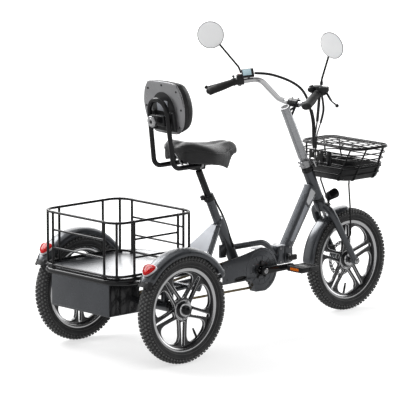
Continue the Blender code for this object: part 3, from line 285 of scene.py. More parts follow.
def rounded_rectangle(x_low, x_top, half_y, corner, steps=6):
    points = []
    corners = (
        (x_top - corner, half_y - corner, 0),
        (x_low + corner, half_y - corner, 90),
        (x_low + corner, corner - half_y, 180),
        (x_top - corner, corner - half_y, 270),
    )
    for x, y, start in corners:
        for step in range(steps + 1):
            a = math.radians(start + 90 * step / steps)
            points.append((x + corner * math.cos(a), y + corner * math.sin(a)))
    return points


def rounded_path(points, bend, steps=8, closed=False):
    """The path through the points, with each inner corner rounded to the bend radius."""
    points = [Vector(p) for p in points]
    count = len(points)
    path = []
    for i, point in enumerate(points):
        if not closed and i in (0, count - 1):
            path.append(point)
            continue
        before = (points[i - 1] - point).normalized()
        after = (points[(i + 1) % count] - point).normalized()
        half = before.angle(after) / 2
        if half > math.radians(89):
            path.append(point)
            continue
        room = 0.49 * min((points[i - 1] - point).length, (points[(i + 1) % count] - point).length)
        radius = min(bend, room * math.tan(half))
        centre = point + (before + after).normalized() * radius / math.sin(half)
        start = point + before * radius / math.tan(half) - centre
        end = point + after * radius / math.tan(half) - centre
        turn = start.rotation_difference(end)
        for step in range(steps + 1):
            part = turn.copy()
            part.angle = turn.angle * step / steps
            path.append(centre + part @ start)
    return path


def smooth(points, steps=5, closed=False):
    """A Catmull-Rom curve through the points, which may have two or three coordinates."""
    points = [np.array(p, float) for p in points]
    count = len(points)
    made = []
    for i in range(count if closed else count - 1):
        if closed:
            a, b, c, d = (points[(i + k) % count] for k in (-1, 0, 1, 2))
        else:
            a, b, c, d = (points[min(max(i + k, 0), count - 1)] for k in (-1, 0, 1, 2))
        for step in range(steps):
            t = step / steps
            made.append(
                0.5 * (2 * b + (c - a) * t + (2 * a - 5 * b + 4 * c - d) * t**2 + (3 * b - a - 3 * c + d) * t**3)
            )
    if not closed:
        made.append(points[-1])
    return [tuple(float(v) for v in p) for p in made]


def facing(origin, x_axis, y_axis):
    """The matrix that puts an XY plane at origin along two given directions."""
    x = Vector(x_axis).normalized()
    z = x.cross(Vector(y_axis)).normalized()
    return Matrix.Translation(Vector(origin)) @ Matrix((x, z.cross(x), z)).transposed().to_4x4()


def upright(origin):
    """A plane across the tricycle: local X forward, local Y up, local Z to the right."""
    return facing(origin, (1, 0, 0), (0, 0, 1))


def along(start, end):
    """Local Z runs from start to end, and the origin is at start."""
    start, end = Vector(start), Vector(end)
    return Matrix.Translation(start) @ (end - start).to_track_quat("Z", "Y").to_matrix().to_4x4()


def turn_about_y(x, y, z, angle=0.0):
    upright_z = Matrix.Rotation(-math.pi / 2, 4, "X")
    return Matrix.Translation((x, y, z)) @ Matrix.Rotation(angle, 4, "Y") @ upright_z


def sided(points, side):
    return [Vector((p[0], p[1] * side, p[2])) for p in points]


def circle(radius, count, centre=(0, 0)):
    turn = 2 * math.pi / count
    return [
        (centre[0] + radius * math.cos(turn * i), centre[1] + radius * math.sin(turn * i))
        for i in range(count)
    ]


class Piece:
    """One visible piece, gathered from several simple shapes with a material each."""

    def __init__(self, mats):
        self.bm = bmesh.new()
        self.mats = mats
        self.used = []

    def index(self, mat):
        if mat not in self.used:
            self.used.append(mat)
        return self.used.index(mat)

    def face(self, verts, mat):
        made = self.bm.faces.new(verts)
        made.material_index = self.index(mat)
        made.smooth = True
        return made

    def rings(self, rings, mat, wrap=True, ends=True, close=False):
        """A skin through rings of points; wrap joins each ring's ends, close joins the last ring to the first."""
        rows = [[self.bm.verts.new(p) for p in ring] for ring in rings]
        count = len(rows[0])
        pairs = list(zip(rows, rows[1:])) + ([(rows[-1], rows[0])] if close else [])
        for near, far in pairs:
            for i in range(count if wrap else count - 1):
                j = (i + 1) % count
                self.face((near[i], near[j], far[j], far[i]), mat)
        if ends and not close:
            self.face(list(reversed(rows[0])), mat)
            self.face(rows[-1], mat)
        return rows

    def tube(self, points, radius, mat, sides=16, closed=False, radii=None, flat=1.0):
        """A round tube along the points, with softened ends."""
        points = [Vector(p) for p in points]
        count = len(points)
        ahead = [points[(i + 1) % count] - points[i] for i in range(count)]
        if not closed:
            ahead[-1] = ahead[-2]
        tangents = []
        for i in range(count):
            back = ahead[i - 1] if closed or i else ahead[0]
            tangents.append((ahead[i].normalized() + back.normalized()).normalized())
        side = tangents[0].orthogonal().normalized()
        if abs(tangents[0].z) < 0.95:
            side = Vector((0, 0, 1)).cross(tangents[0]).normalized()
        rings = []
        for i, (point, tangent) in enumerate(zip(points, tangents)):
            side = (side - tangent * side.dot(tangent)).normalized()
            other = tangent.cross(side)
            r = radius * (radii[i] if radii else 1.0)
            rings.append([
                point + side * r * math.cos(2 * math.pi * k / sides)
                + other * r * flat * math.sin(2 * math.pi * k / sides)
                for k in range(sides)
            ])
        if not closed:
            rings = self.softened(rings, points, tangents, radius)
        self.rings(rings, mat, close=closed)
        return self

    def softened(self, rings, points, tangents, radius):
        """Adds a small chamfer ring at both ends of a tube."""
        cut = min(0.0012, radius * 0.25)
        first = [points[0] + (p - points[0]) * (1 - cut / radius) for p in rings[0]]
        last = [points[-1] + (p - points[-1]) * (1 - cut / radius) for p in rings[-1]]
        near = [p + tangents[0] * cut for p in rings[0]]
        far = [p - tangents[-1] * cut for p in rings[-1]]
        return [first, near] + rings[1:-1] + [far, last]

    def lathe(self, profile, place, mat, steps=48, angle=2 * math.pi, closed=True, start=0.0):
        """A profile of (radius, height) points turned about the local Z axis."""
        full = abs(angle) > 6.28
        rings = []
        for step in range(steps if full else steps + 1):
            a = start + angle * step / steps
            rings.append([place @ Vector((r * math.cos(a), r * math.sin(a), z)) for r, z in profile])
        self.rings(rings, mat, wrap=closed, ends=closed, close=full)
        return self

    def knob(self, start, end, profile, mat, steps=28):
        """A turned solid between two points: profile of (share along, radius) points."""
        start, end = Vector(start), Vector(end)
        length = (end - start).length
        place = along(start, end)
        rings = []
        for share, r in profile:
            rings.append([
                place @ Vector((r * math.cos(2 * math.pi * k / steps), r * math.sin(2 * math.pi * k / steps), share * length))
                for k in range(steps)
            ])
        self.rings(rings, mat)
        return self

    def rod(self, start, end, radius, mat, steps=24, edge=0.0008):
        length = (Vector(end) - Vector(start)).length
        e = min(edge, radius * 0.3) / length
        lip = radius - min(edge, radius * 0.3)
        return self.knob(start, end, ((0, lip), (e, radius), (1 - e, radius), (1, lip)), mat, steps)

    def box(self, low, top, mat, place=None, bevel=0.002, segments=2):
        low, top = Vector(low), Vector(top)
        bm = bmesh.new()
        bmesh.ops.create_cube(bm, size=1.0)
        bmesh.ops.scale(bm, vec=top - low, verts=bm.verts)
        bmesh.ops.translate(bm, vec=(top + low) / 2, verts=bm.verts)
        bmesh.ops.bevel(bm, geom=bm.edges[:], offset=bevel, segments=segments, affect="EDGES", profile=0.5)
        if place is not None:
            bm.transform(place)
        return self.take(bm, mat)

    def take(self, bm, mat):
        mesh = bpy.data.meshes.new("part")
        bm.to_mesh(mesh)
        bm.free()
        return self.take_mesh(mesh, mat)

    def take_mesh(self, mesh, mat):
        before = len(self.bm.faces)
        self.bm.from_mesh(mesh)
        self.bm.faces.ensure_lookup_table()
        index = self.index(mat)
        for face in self.bm.faces[before:]:
            face.material_index = index
            face.smooth = True
        bpy.data.meshes.remove(mesh)
        return self

    def plate(self, outlines, half, place, mat, bevel=0.0006, edge=None):
        """A flat plate with softened edges; outlines after the first are holes. edge is its rim's material."""
        curve = bpy.data.curves.new("plate", "CURVE")
        curve.dimensions = "2D"
        curve.fill_mode = "BOTH"
        curve.extrude = max(half - bevel, 0.00005)
        curve.bevel_depth = bevel
        curve.bevel_resolution = 1
        curve.offset = -bevel
        for outline in outlines:
            spline = curve.splines.new("POLY")
            spline.points.add(len(outline) - 1)
            for point, (x, y) in zip(spline.points, outline):
                point.co = (x, y, 0, 1)
            spline.use_cyclic_u = True
        obj = bpy.data.objects.new("plate", curve)
        bpy.context.scene.collection.objects.link(obj)
        bpy.context.view_layer.update()
        graph = bpy.context.evaluated_depsgraph_get()
        mesh = bpy.data.meshes.new_from_object(obj.evaluated_get(graph))
        bpy.data.objects.remove(obj)
        first = len(self.bm.faces)
        sloped = [0.1 < abs(p.normal.z) < 0.98 for p in mesh.polygons]
        mesh.transform(place)
        self.take_mesh(mesh, mat)
        if edge:
            index = self.index(edge)
            self.bm.faces.ensure_lookup_table()
            for face, is_edge in zip(self.bm.faces[first:], sloped):
                if is_edge:
                    face.material_index = index
        return self

    def ball(self, centre, radius, mat, stretch=(1, 1, 1), turn=None):
        bm = bmesh.new()
        bmesh.ops.create_uvsphere(bm, u_segments=20, v_segments=12, radius=radius)
        bm.transform(Matrix.Translation(centre) @ (turn or Matrix.Identity(4)) @ Matrix.Diagonal((*stretch, 1)))
        return self.take(bm, mat)

    def bolt(self, centre, direction, radius, height, mat="steel"):
        """A socket-head screw with a rounded rim and a recess."""
        centre, direction = Vector(centre), Vector(direction).normalized()
        shape = ((0, 0.9), (0.0, 1.0), (0.75, 1.0), (1, 0.86), (1, 0.5), (0.45, 0.42), (0.45, 0.01))
        profile = [(share, radius * r) for share, r in shape]
        return self.knob(centre, centre + direction * height, profile, mat, 16)

    def nut(self, centre, direction, radius, height, mat="steel"):
        centre, direction = Vector(centre), Vector(direction).normalized()
        shape = ((0, 1.0), (0.85, 1.0), (1, 0.88))
        return self.knob(centre, centre + direction * height, [(s, radius * r) for s, r in shape], mat, 6)

    def done(self, name, body, slot=None, replaces=(), angle=38, parent_ride=True):
        """The finished object, welded, shaded and riding on its body."""
        bmesh.ops.remove_doubles(self.bm, verts=self.bm.verts, dist=2e-6)
        bmesh.ops.recalc_face_normals(self.bm, faces=self.bm.faces)
        mesh = bpy.data.meshes.new(name)
        self.bm.to_mesh(mesh)
        self.bm.free()
        for key in self.used:
            mesh.materials.append(self.mats[key])
        mesh.set_sharp_from_angle(angle=math.radians(angle))
        obj = bpy.data.objects.new(name, mesh)
        bpy.context.scene.collection.objects.link(obj)
        if parent_ride:
            obj.location = SHIFT
            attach(obj, body)
        if replaces:
            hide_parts(*replaces)
        return obj


# ---------------------------------------------------------------- wheels


def petal(angle):
    """One of the five large windows of a wheel: a drop with its tip at the hub."""
    half = ((0.060, 15.0), (0.084, 22.0), (0.108, 25.2), (0.126, 23.0), (0.1365, 14.5))
    ring = [(0.044, 0.0)] + [(r, -turn) for r, turn in half] + [(0.1400, 0.0)]
    ring += [(r, turn) for r, turn in reversed(half)]
    flat = []
    for r, turn in ring:
        a = angle + math.radians(turn)
        flat.append((r * math.cos(a), r * math.sin(a)))
    return smooth(flat, 4, closed=True)


def slot_outline(angle):
    """One of the five slots inside a double spoke, widest at the hub."""
    ring = [(0.0475, -0.0078), (0.0500, -0.0096), (0.1370, -0.0056), (0.1390, -0.0036)]
    ring += [(x, -y) for x, y in reversed(ring)]
    cos, sin = math.cos(angle), math.sin(angle)
    return [(x * cos - y * sin, x * sin + y * cos) for x, y in ring]


def rim_piece(mats):
    p = Piece(mats)
    lip = [
        (0.1605, 0.0176), (0.1600, 0.0184), (0.1588, 0.0187), (0.1566, 0.0186),
        (0.1530, 0.0180), (0.1495, 0.0168), (0.1478, 0.0158),
    ]
    barrel = [(0.1474, 0.0150), (0.1452, 0.0118), (0.1436, 0.0086), (0.1428, 0.0040), (0.1428, 0.0)]
    for side in (1, -1):
        place = turn_about_y(0, 0, 0)
        p.lathe([(r, z * side) for r, z in lip], place, "alloy", 96, closed=False)
        p.lathe([(r, z * side) for r, z in [lip[-1]] + barrel], place, "casting", 96, closed=False)
    p.lathe(((0.1605, 0.0176), (0.1500, 0.0080), (0.1500, -0.0080), (0.1605, -0.0176)), turn_about_y(0, 0, 0), "steel", 96, closed=False)
    outlines = [circle(0.1440, 96)]
    for i in range(5):
        spoke = math.radians(-90 + 72 * i)
        outlines += [slot_outline(spoke), petal(spoke + math.radians(36))]
    p.plate(outlines, 0.0070, upright((0, 0, 0)), "casting", 0.0022, "alloy")
    shape = [(0.0415, 0.0066), (0.0410, 0.0082), (0.0380, 0.0088), (0.0360, 0.0076), (0.0330, 0.0078)]
    shape += [(0.0322, 0.0120), (0.0285, 0.0135), (0.0270, 0.0195), (0.0240, 0.0232), (0.0140, 0.0236)]
    for side in (1, -1):
        p.lathe([(r, z * side) for r, z in shape[:5]], turn_about_y(0, 0, 0), "alloy", 64, closed=False)
        p.lathe([(r, z * side) for r, z in shape[4:8]], turn_about_y(0, 0, 0), "casting", 64, closed=False)
        p.lathe([(r, z * side) for r, z in shape[7:]], turn_about_y(0, 0, 0), "alloy", 64, closed=False)
        p.lathe([(0.0140, 0.0236 * side), (0.0100, 0.0238 * side), (0.0060, 0.0238 * side)], turn_about_y(0, 0, 0), "casting", 48, closed=False)
        for k in range(5):
            a = math.radians(-90 + 72 * k)
            p.bolt((0.0365 * math.cos(a), 0.0078 * side, 0.0365 * math.sin(a)), (0, side, 0), 0.0028, 0.0030, "steel")
    a = math.radians(-56)
    out = Vector((math.cos(a), 0, math.sin(a)))
    foot = out * 0.1445 + Vector((0, 0.006, 0))
    p.rod(foot, foot - out * 0.006, 0.0052, "rubber", 16)
    p.rod(foot - out * 0.004, foot - out * 0.036 - Vector((0, 0.006, 0)), 0.0044, "rubber", 14)
    p.rod(foot - out * 0.034 - Vector((0, 0.0055, 0)), foot - out * 0.046 - Vector((0, 0.0078, 0)), 0.0038, "plastic", 12)
    return p


def tyre_piece(mats):
    """A 16-inch tyre: carcass, two centre rows and two shoulder rows of blocks, ribbed side walls."""
    p = Piece(mats)
    half = [
        (0.2030, 0.0), (0.2024, 0.0060), (0.2006, 0.0120), (0.1972, 0.0182), (0.1925, 0.0228),
        (0.1870, 0.0254), (0.1808, 0.0266), (0.1745, 0.0262), (0.1690, 0.0246), (0.1640, 0.0222),
        (0.1612, 0.0200), (0.1606, 0.0186),
    ]
    p.lathe(half[::-1] + [(r, -z) for r, z in half[1:]], turn_about_y(0, 0, 0), "tyre", 120, closed=False)
    rows = (
        (0.0052, 0.0, 0.0078, 0.0080, 0.2010, 0.2074, 0.0),
        (-0.0052, 0.0, 0.0078, 0.0080, 0.2010, 0.2074, 0.5),
        (0.0158, 24.0, 0.0080, 0.0086, 0.1985, 0.2046, 0.5),
        (-0.0158, -24.0, 0.0080, 0.0086, 0.1985, 0.2046, 0.0),
        (0.0228, 52.0, 0.0070, 0.0066, 0.1915, 0.1982, 0.0),
        (-0.0228, -52.0, 0.0070, 0.0066, 0.1915, 0.1982, 0.5),
    )
    count = 78
    for y, tilt, wide, long, low, top, phase in rows:
        for k in range(count):
            a = 2 * math.pi * (k + phase) / count
            block(p, a, y, math.radians(tilt), wide, long, low, top)
    for side in (1, -1):
        for k in range(156):
            a = 2 * math.pi * k / 156
            block(p, a, 0.0257 * side, math.radians(80 * side), 0.0052, 0.0030, 0.1838, 0.1852)
    ring = [(0.1700, 0.0253), (0.1693, 0.0262), (0.1680, 0.0258), (0.1676, 0.0240)]
    for side in (1, -1):
        p.lathe([(r, z * side) for r, z in ring], turn_about_y(0, 0, 0), "tyre", 120, closed=False)
    return p


def block(p, angle, y, tilt, wide, long, low, top):
    """One tread block, standing on the carcass at this angle and leaning out by tilt."""
    out = Vector((math.cos(angle), 0, math.sin(angle)))
    round_way = Vector((-math.sin(angle), 0, math.cos(angle)))
    up = (out * math.cos(tilt) + Vector((0, math.sin(tilt), 0))).normalized()
    across = round_way.cross(up)
    root = out * low + Vector((0, y, 0))
    height = (top - low)
    corners = []
    for level, share in ((0.0, 1.0), (0.82, 0.90), (1.0, 0.74)):
        corners.append([
            root + up * height * level + round_way * long / 2 * share * a + across * wide / 2 * share * b
            for a, b in ((-1, -1), (1, -1), (1, 1), (-1, 1))
        ])
    rows = [[p.bm.verts.new(c) for c in ring] for ring in corners]
    for near, far in zip(rows, rows[1:]):
        for i in range(4):
            p.face((near[i], near[(i + 1) % 4], far[(i + 1) % 4], far[i]), "tyre")
    p.face(rows[-1], "tyre")


def place_copy(source, name, centre, body, replaces, turn=0.0):
    mesh = source.data
    if turn:
        mesh = source.data.copy()
        mesh.transform(Matrix.Rotation(turn, 4, "Y"))
    obj = bpy.data.objects.new(name, mesh)
    bpy.context.scene.collection.objects.link(obj)
    obj.location = Vector(centre) + SHIFT
    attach(obj, body)
    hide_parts(replaces)
    return obj


def wheels(mats):
    centres = (
        ("rear_left", (0, HALF_TRACK, AXLE_Z), "rear_wheel_left"),
        ("rear_right", (0, -HALF_TRACK, AXLE_Z), "rear_wheel_right"),
        ("front", (WHEELBASE, 0, AXLE_Z), "front_wheel"),
    )
    rim = rim_piece(mats).done("rim_source", None, parent_ride=False, angle=28)
    tyre = tyre_piece(mats).done("tyre_source", None, parent_ride=False, angle=30)
    for name, centre, body in centres:
        turn = math.radians(36) if name == "front" else 0.0
        place_copy(rim, f"{name}_wheel_rim", centre, body, f"{name}_rim", turn)
        place_copy(tyre, f"{name}_wheel_tyre", centre, body, f"{name}_tyre")
    for source in (rim, tyre):
        bpy.data.objects.remove(source)
    for word, side in SIDES:
        p = Piece(mats)
        y = (HALF_TRACK + 0.0236) * side
        shape = ((0, 0.0175), (0.25, 0.0180), (0.55, 0.0172), (0.8, 0.0135), (0.94, 0.0080), (1.0, 0.0020))
        p.knob((0, y, AXLE_Z), (0, y + 0.0190 * side, AXLE_Z), shape, "gloss", 40)
        p.lathe(((0.0200, 0.0), (0.0198, 0.0016), (0.0182, 0.0020), (0.0178, 0.0)), turn_about_y(0, y, AXLE_Z), "steel", 48)
        p.done(f"hub_cap_{word}", f"rear_wheel_{word}", "black_plastic")


def front_wheel_parts(mats):
    """Brake rotor with its carrier and slots, axle with nuts, and caliper."""
    centre = Vector((WHEELBASE, 0.0252, AXLE_Z))
    p = Piece(mats)
    holes = []
    for i in range(24):
        a = 2 * math.pi * i / 24
        for r, size in ((0.0665, 0.0022), (0.0605, 0.0022)):
            shift = a + (0.08 if r < 0.065 else 0)
            holes.append(circle(size, 8, (r * math.cos(shift), r * math.sin(shift))))
    p.plate([circle(0.072, 72), circle(0.0555, 60)] + holes, 0.0009, upright(centre), "steel", 0.0003)
    for i in range(6):
        a = 2 * math.pi * i / 6
        inner = (0.0290 * math.cos(a), 0.0290 * math.sin(a))
        outer = (0.0570 * math.cos(a + 0.45), 0.0570 * math.sin(a + 0.45))
        place = upright(centre)
        ends = [place @ Vector((*inner, 0)), place @ Vector((*outer, 0))]
        p.tube(ends, 0.0042, "steel", 8, flat=0.28)
        p.bolt(place @ Vector((*inner, -0.0012)), (0, 1, 0), 0.0026, 0.0022)
    p.lathe(((0.0330, 0.0012), (0.0330, -0.0012), (0.0262, -0.0012), (0.0262, 0.0012)), turn_about_y(*centre), "steel", 48)
    p.done("brake_disc", "front_wheel", "brushed_steel", ["brake_rotor"])

    p = Piece(mats)
    p.rod((WHEELBASE, -0.0740, AXLE_Z), (WHEELBASE, 0.0740, AXLE_Z), 0.0049, "steel", 20)
    for side in (1, -1):
        y = 0.0640 * side
        p.rod((WHEELBASE, y, AXLE_Z), (WHEELBASE, y + 0.0016 * side, AXLE_Z), 0.0110, "chrome", 32)
        p.nut((WHEELBASE, y + 0.0016 * side, AXLE_Z), (0, side, 0), 0.0086, 0.0072, "chrome")
    p.done("front_axle_and_nuts", "fork", "brushed_steel", ["front_axle"])

    p = Piece(mats)
    p.box((1.0825, 0.0280, 0.2385), (1.1215, 0.0375, 0.2695), "plastic", bevel=0.004, segments=3)
    p.box((1.0845, 0.0172, 0.2405), (1.1195, 0.0228, 0.2680), "plastic", bevel=0.002)
    p.box((1.0840, 0.0185, 0.2550), (1.0925, 0.0360, 0.2690), "plastic", bevel=0.002)
    p.rod((1.1020, 0.0370, 0.2540), (1.1020, 0.0400, 0.2540), 0.0085, "steel", 28)
    for x in (1.0880, 1.1160):
        p.bolt((x, 0.0372, 0.2440), (0, 1, 0), 0.0032, 0.0030)
    p.tube(rounded_path([(1.0960, 0.034, 0.268), (1.088, 0.040, 0.300), (1.070, 0.046, 0.352)], 0.03), 0.0024, "cable", 10)
    p.done("caliper_and_hose", "fork", "black_plastic", ["brake_caliper"])


# ---------------------------------------------------------------- rear end


def steer_point(z):
    return Vector((0.818 + 0.4827 * (0.859 - z), 0, z))


def seat_point(z):
    return Vector((0.359 + 0.474 * (0.658 - z), 0, z))


def weld_bead(p, centre, direction, radius, mat="gunmetal"):
    """A rippled bead round a tube where it meets another."""
    place = along(centre, Vector(centre) + Vector(direction))
    ring = []
    for k in range(36):
        a = 2 * math.pi * k / 36
        ring.append(place @ Vector((radius * math.cos(a), radius * math.sin(a), 0.0006 * math.sin(9 * a))))
    p.tube(ring, 0.0022, mat, 8, closed=True)


def hinge_half(p, x_low, x_top, knuckles):
    p.box((x_low, -0.024, 0.238), (x_top, 0.024, 0.312), "gunmetal", bevel=0.004, segments=3)
    for low, top in knuckles:
        p.rod((0.800, 0.034, low), (0.800, 0.034, top), 0.009, "gunmetal", 28)
        web = x_top - 0.012 if x_top < 0.8 else x_low
        p.box((web, 0.015, low), (web + 0.012, 0.038, top), "gunmetal", bevel=0.001)
    for z in (0.248, 0.302):
        x = x_low + 0.012 if x_top < 0.8 else x_top - 0.012
        p.bolt((x, -0.0238, z), (0, -1, 0), 0.0042, 0.0030)


def main_frame(mats):
    p = Piece(mats)
    x_low, x_top, half_y, z = PLATFORM
    loop = [(x, y, z) for x, y in rounded_rectangle(x_low, x_top, half_y, 0.076, 10)]
    p.tube(loop, 0.011, "black", 20, closed=True)
    p.tube([(0, -half_y, z), (0, half_y, z)], 0.009, "black", 16)
    shift = Vector((0.008, 0, 0))
    p.tube([seat_point(0.560), seat_point(0.425)], 0.0165, "gunmetal", 28)
    p.tube([seat_point(0.456) + shift, seat_point(0.262) + shift], 0.0215, "gunmetal", 32)
    down = (seat_point(0.4) - seat_point(0.5)).normalized()
    weld_bead(p, seat_point(0.456) + shift, down, 0.0205)
    for _, side in SIDES:
        brace = sided([(0.462, 0.006, 0.440), (0.245, 0.122, 0.226)], side)
        p.tube(brace, 0.011, "gunmetal", 20)
        way = (brace[1] - brace[0]).normalized()
        weld_bead(p, brace[0] + way * 0.022, way, 0.0112)
        stay = sided([(0.560, 0.014, 0.256), (0.400, 0.030, 0.226), (0.024, 0.030, 0.2075)], side)
        p.tube(rounded_path(stay, 0.05), 0.010, "gunmetal", 18)
        p.tube(sided([(0.245, 0.116, 0.226), (0.235, 0.116, z)], side), 0.009, "gunmetal", 16)
        for angle in (33, 146):
            a = math.radians(angle)
            tip = Vector((0.2225 * math.cos(a), 0.2608 * side, AXLE_Z + 0.2225 * math.sin(a)))
            root = Vector((tip.x, 0.214 * side, z))
            p.tube([root, tip], 0.004, "black", 12)
            p.bolt(tip + Vector((0, -0.002 * side, 0)), (0, -side, 0.2), 0.0045, 0.003)
        low_y, top_y = sorted((0.206 * side, 0.226 * side))
        p.box((-0.024, low_y, AXLE_Z + 0.0224), (0.024, top_y, z), "gunmetal", bevel=0.002)
        for dx in (-0.014, 0.014):
            p.bolt((dx, 0.226 * side, 0.262), (0, side, 0), 0.0045, 0.004)
    p.tube([(0.245, -0.128, 0.226), (0.245, 0.128, 0.226)], 0.010, "gunmetal", 18)
    step = rounded_path([(0.530, 0, 0.335), (0.706, 0, 0.335), (0.785, 0, 0.266)], 0.07, 10)
    p.tube(step, 0.012, "gunmetal", 24)
    p.tube([(0.600, 0, 0.247), (0.776, 0, 0.258)], 0.016, "gunmetal", 28)
    p.rod((CRANK.x, -0.034, CRANK.z), (CRANK.x, 0.034, CRANK.z), 0.021, "gunmetal", 40)
    for side in (1, -1):
        p.lathe(((0.0205, 0.0342 * side), (0.0190, 0.0362 * side), (0.0125, 0.0362 * side), (0.0120, 0.0340 * side)), turn_about_y(*CRANK), "steel", 40)
    hinge_half(p, 0.764, 0.7985, ((0.243, 0.260), (0.290, 0.307)))
    p.rod((0.800, 0.034, 0.2395), (0.800, 0.034, 0.3105), 0.0035, "steel", 18)
    p.nut((0.800, 0.034, 0.3070), (0, 0, 1), 0.0078, 0.0050)
    p.box((0.470, -0.007, 0.300), (0.498, 0.007, 0.352), "gunmetal", bevel=0.002)
    p.done("rear_frame_tubes", "rear_frame", "gunmetal_paint", ["main_frame"])


def deck(mats):
    """Cargo deck with a rolled edge and screws, and the sloping panel ahead of it."""
    x_low, x_top, half_y, z = PLATFORM
    deck_z = z + 0.011 + 0.0004 + 0.002
    p = Piece(mats)
    outline = rounded_rectangle(x_low + 0.004, x_top + 0.003, half_y - 0.002, 0.072, 10)
    p.plate([outline], 0.0020, Matrix.Translation((0, 0, deck_z)), "deck", 0.0009)
    for x in (-0.225, -0.06, 0.105, 0.215):
        for side in (1, -1):
            p.bolt((x, 0.203 * side, deck_z + 0.0018), (0, 0, 1), 0.0040, 0.0016)
    p.done("cargo_deck", "rear_frame", "silver_deck", ["deck_plate"])
    edge = Piece(mats)
    rim = [(x, y, deck_z - 0.0004) for x, y in rounded_rectangle(x_low + 0.0015, x_top + 0.004, half_y + 0.0005, 0.0745, 10)]
    edge.tube(rim, 0.0030, "gloss", 10, closed=True)
    edge.done("deck_edge_strip", "rear_frame", "black_paint")
    slope = Vector((0.217, 0, 0.214)).normalized()
    normal = Vector((-slope.z, 0, slope.x))
    start = Vector((0.3595, 0, 0.3390)) + normal * 0.0135
    panel = Piece(mats)
    shape = rounded_panel([(0.0, -0.060), (0.124, -0.014), (0.124, 0.014), (0.0, 0.060)], 0.006)
    panel.plate([shape], 0.0011, facing(start, slope, (0, 1, 0)), "slope", 0.0005)
    panel.done("sloping_panel", "rear_frame", "silver_deck", ["gusset_panel"])


def rounded_panel(points, radius, steps=5):
    path = rounded_path([(x, y, 0) for x, y in points], radius, steps, closed=True)
    return [(v.x, v.y) for v in path]


def cargo_rack(mats):
    x_low, x_top, half_y, corner = RACK
    p = Piece(mats)
    ring = rounded_rectangle(x_low, x_top, half_y, corner, 10)
    p.tube([(x, y, 0.551) for x, y in ring], 0.0050, "black", 14, closed=True)
    p.tube([(x, y, 0.3475) for x, y in ring], 0.0050, "black", 14, closed=True)
    middle = corner * (1 - math.sqrt(0.5))
    feet = []
    for _, side in SIDES:
        feet += [(x, half_y * side) for x in (-0.165, 0.055)]
        for edge, turn in ((x_low, 1), (x_top, -1)):
            feet.append((edge, 0.1475 * side))
            feet.append((edge + middle * turn, (half_y - middle) * side))
    for x, y in feet:
        p.tube([(x, y, 0.3475), (x, y, 0.551)], 0.0050, "black", 14)
        for z in (0.3475, 0.551):
            p.ball(Vector((x, y, z)), 0.0058, "black")
        p.rod((x, y, 0.3404), (x, y, 0.3450), 0.0095, "black", 20)
    for share in (0.33, 0.67):
        z = 0.3475 + 0.2035 * share
        for x in (x_low, x_top):
            p.tube([(x, -0.1475, z), (x, 0.1475, z)], 0.0040, "black", 12)
        p.tube([(-0.165, -half_y, z), (0.055, -half_y, z)], 0.0040, "black", 12)
    p.done("rail_rack", "rear_frame", "black_paint", ["cargo_rack"])


def battery_box(mats):
    """Folded sheet box under the deck: seams, side panels and a lid line."""
    p = Piece(mats)
    low, top = Vector((-0.2200, -0.1330, 0.1800)), Vector((-0.0660, 0.2000, 0.3110))
    p.box(low, top, "gunmetal", bevel=0.0045, segments=3)
    p.box((low.x - 0.0012, low.y + 0.004, 0.3020), (top.x + 0.001, top.y - 0.004, 0.3115), "gunmetal", bevel=0.001)
    p.box((low.x + 0.002, low.y - 0.0014, 0.1840), (-0.1655, low.y + 0.002, 0.3010), "casting", bevel=0.0012)
    p.box((-0.1605, low.y - 0.0014, 0.1840), (top.x - 0.002, low.y + 0.002, 0.3010), "casting", bevel=0.0012)
    p.box((-0.1660, low.y - 0.0028, 0.1860), (-0.1600, low.y, 0.3000), "gloss", bevel=0.0010)
    for z in (0.1865, 0.2965):
        p.box((low.x - 0.0010, low.y + 0.006, z), (low.x + 0.002, top.y - 0.006, z + 0.0030), "gunmetal", bevel=0.0008)
    p.done("under_deck_box", "rear_frame", "gunmetal_paint", ["battery_box"])


def axle_unit(mats):
    p = Piece(mats)
    shape = ((0, 0.0192), (0.004, 0.0208), (0.996, 0.0208), (1, 0.0192))
    p.knob((0, -0.246, AXLE_Z), (0, 0.246, AXLE_Z), shape, "gunmetal", 40)
    drum = (
        (0, 0.030), (0.02, 0.052), (0.06, 0.0575), (0.30, 0.0578), (0.31, 0.0560), (0.34, 0.0560),
        (0.35, 0.0578), (0.65, 0.0578), (0.66, 0.0560), (0.69, 0.0560), (0.70, 0.0578),
        (0.94, 0.0575), (0.98, 0.052), (1, 0.030),
    )
    p.knob((0, 0.045, AXLE_Z), (0, 0.140, AXLE_Z), drum, "casting", 64)
    for k in range(8):
        a = 2 * math.pi * (k + 0.5) / 8
        x, z = 0.047 * math.cos(a), AXLE_Z + 0.047 * math.sin(a)
        p.bolt((x, 0.0460, z), (0, -1, 0), 0.0034, 0.0032)
        p.bolt((x, 0.1390, z), (0, 1, 0), 0.0034, 0.0032)
    p.rod((0, -0.318, AXLE_Z), (0, 0.318, AXLE_Z), 0.0050, "steel", 20)
    for side in (1, -1):
        p.rod((0, 0.232 * side, AXLE_Z), (0, 0.2505 * side, AXLE_Z), 0.0235, "casting", 40)
    p.rod((0, -0.092, AXLE_Z), (0, -0.076, AXLE_Z), 0.031, "casting", 40)
    p.tube(rounded_path([(-0.010, 0.090, 0.264), (-0.030, 0.085, 0.292), (-0.070, 0.070, 0.300)], 0.03), 0.0034, "cable", 12)
    p.done("rear_axle_and_motor", "rear_frame", "black_plastic", ["axle_housing"])


def gear_outline(radius, teeth, depth):
    ring = []
    for k in range(teeth):
        for share, r in ((0.0, radius - depth), (0.22, radius - depth), (0.42, radius), (0.58, radius), (0.78, radius - depth)):
            a = 2 * math.pi * (k + share) / teeth
            ring.append((r * math.cos(a), r * math.sin(a)))
    return ring


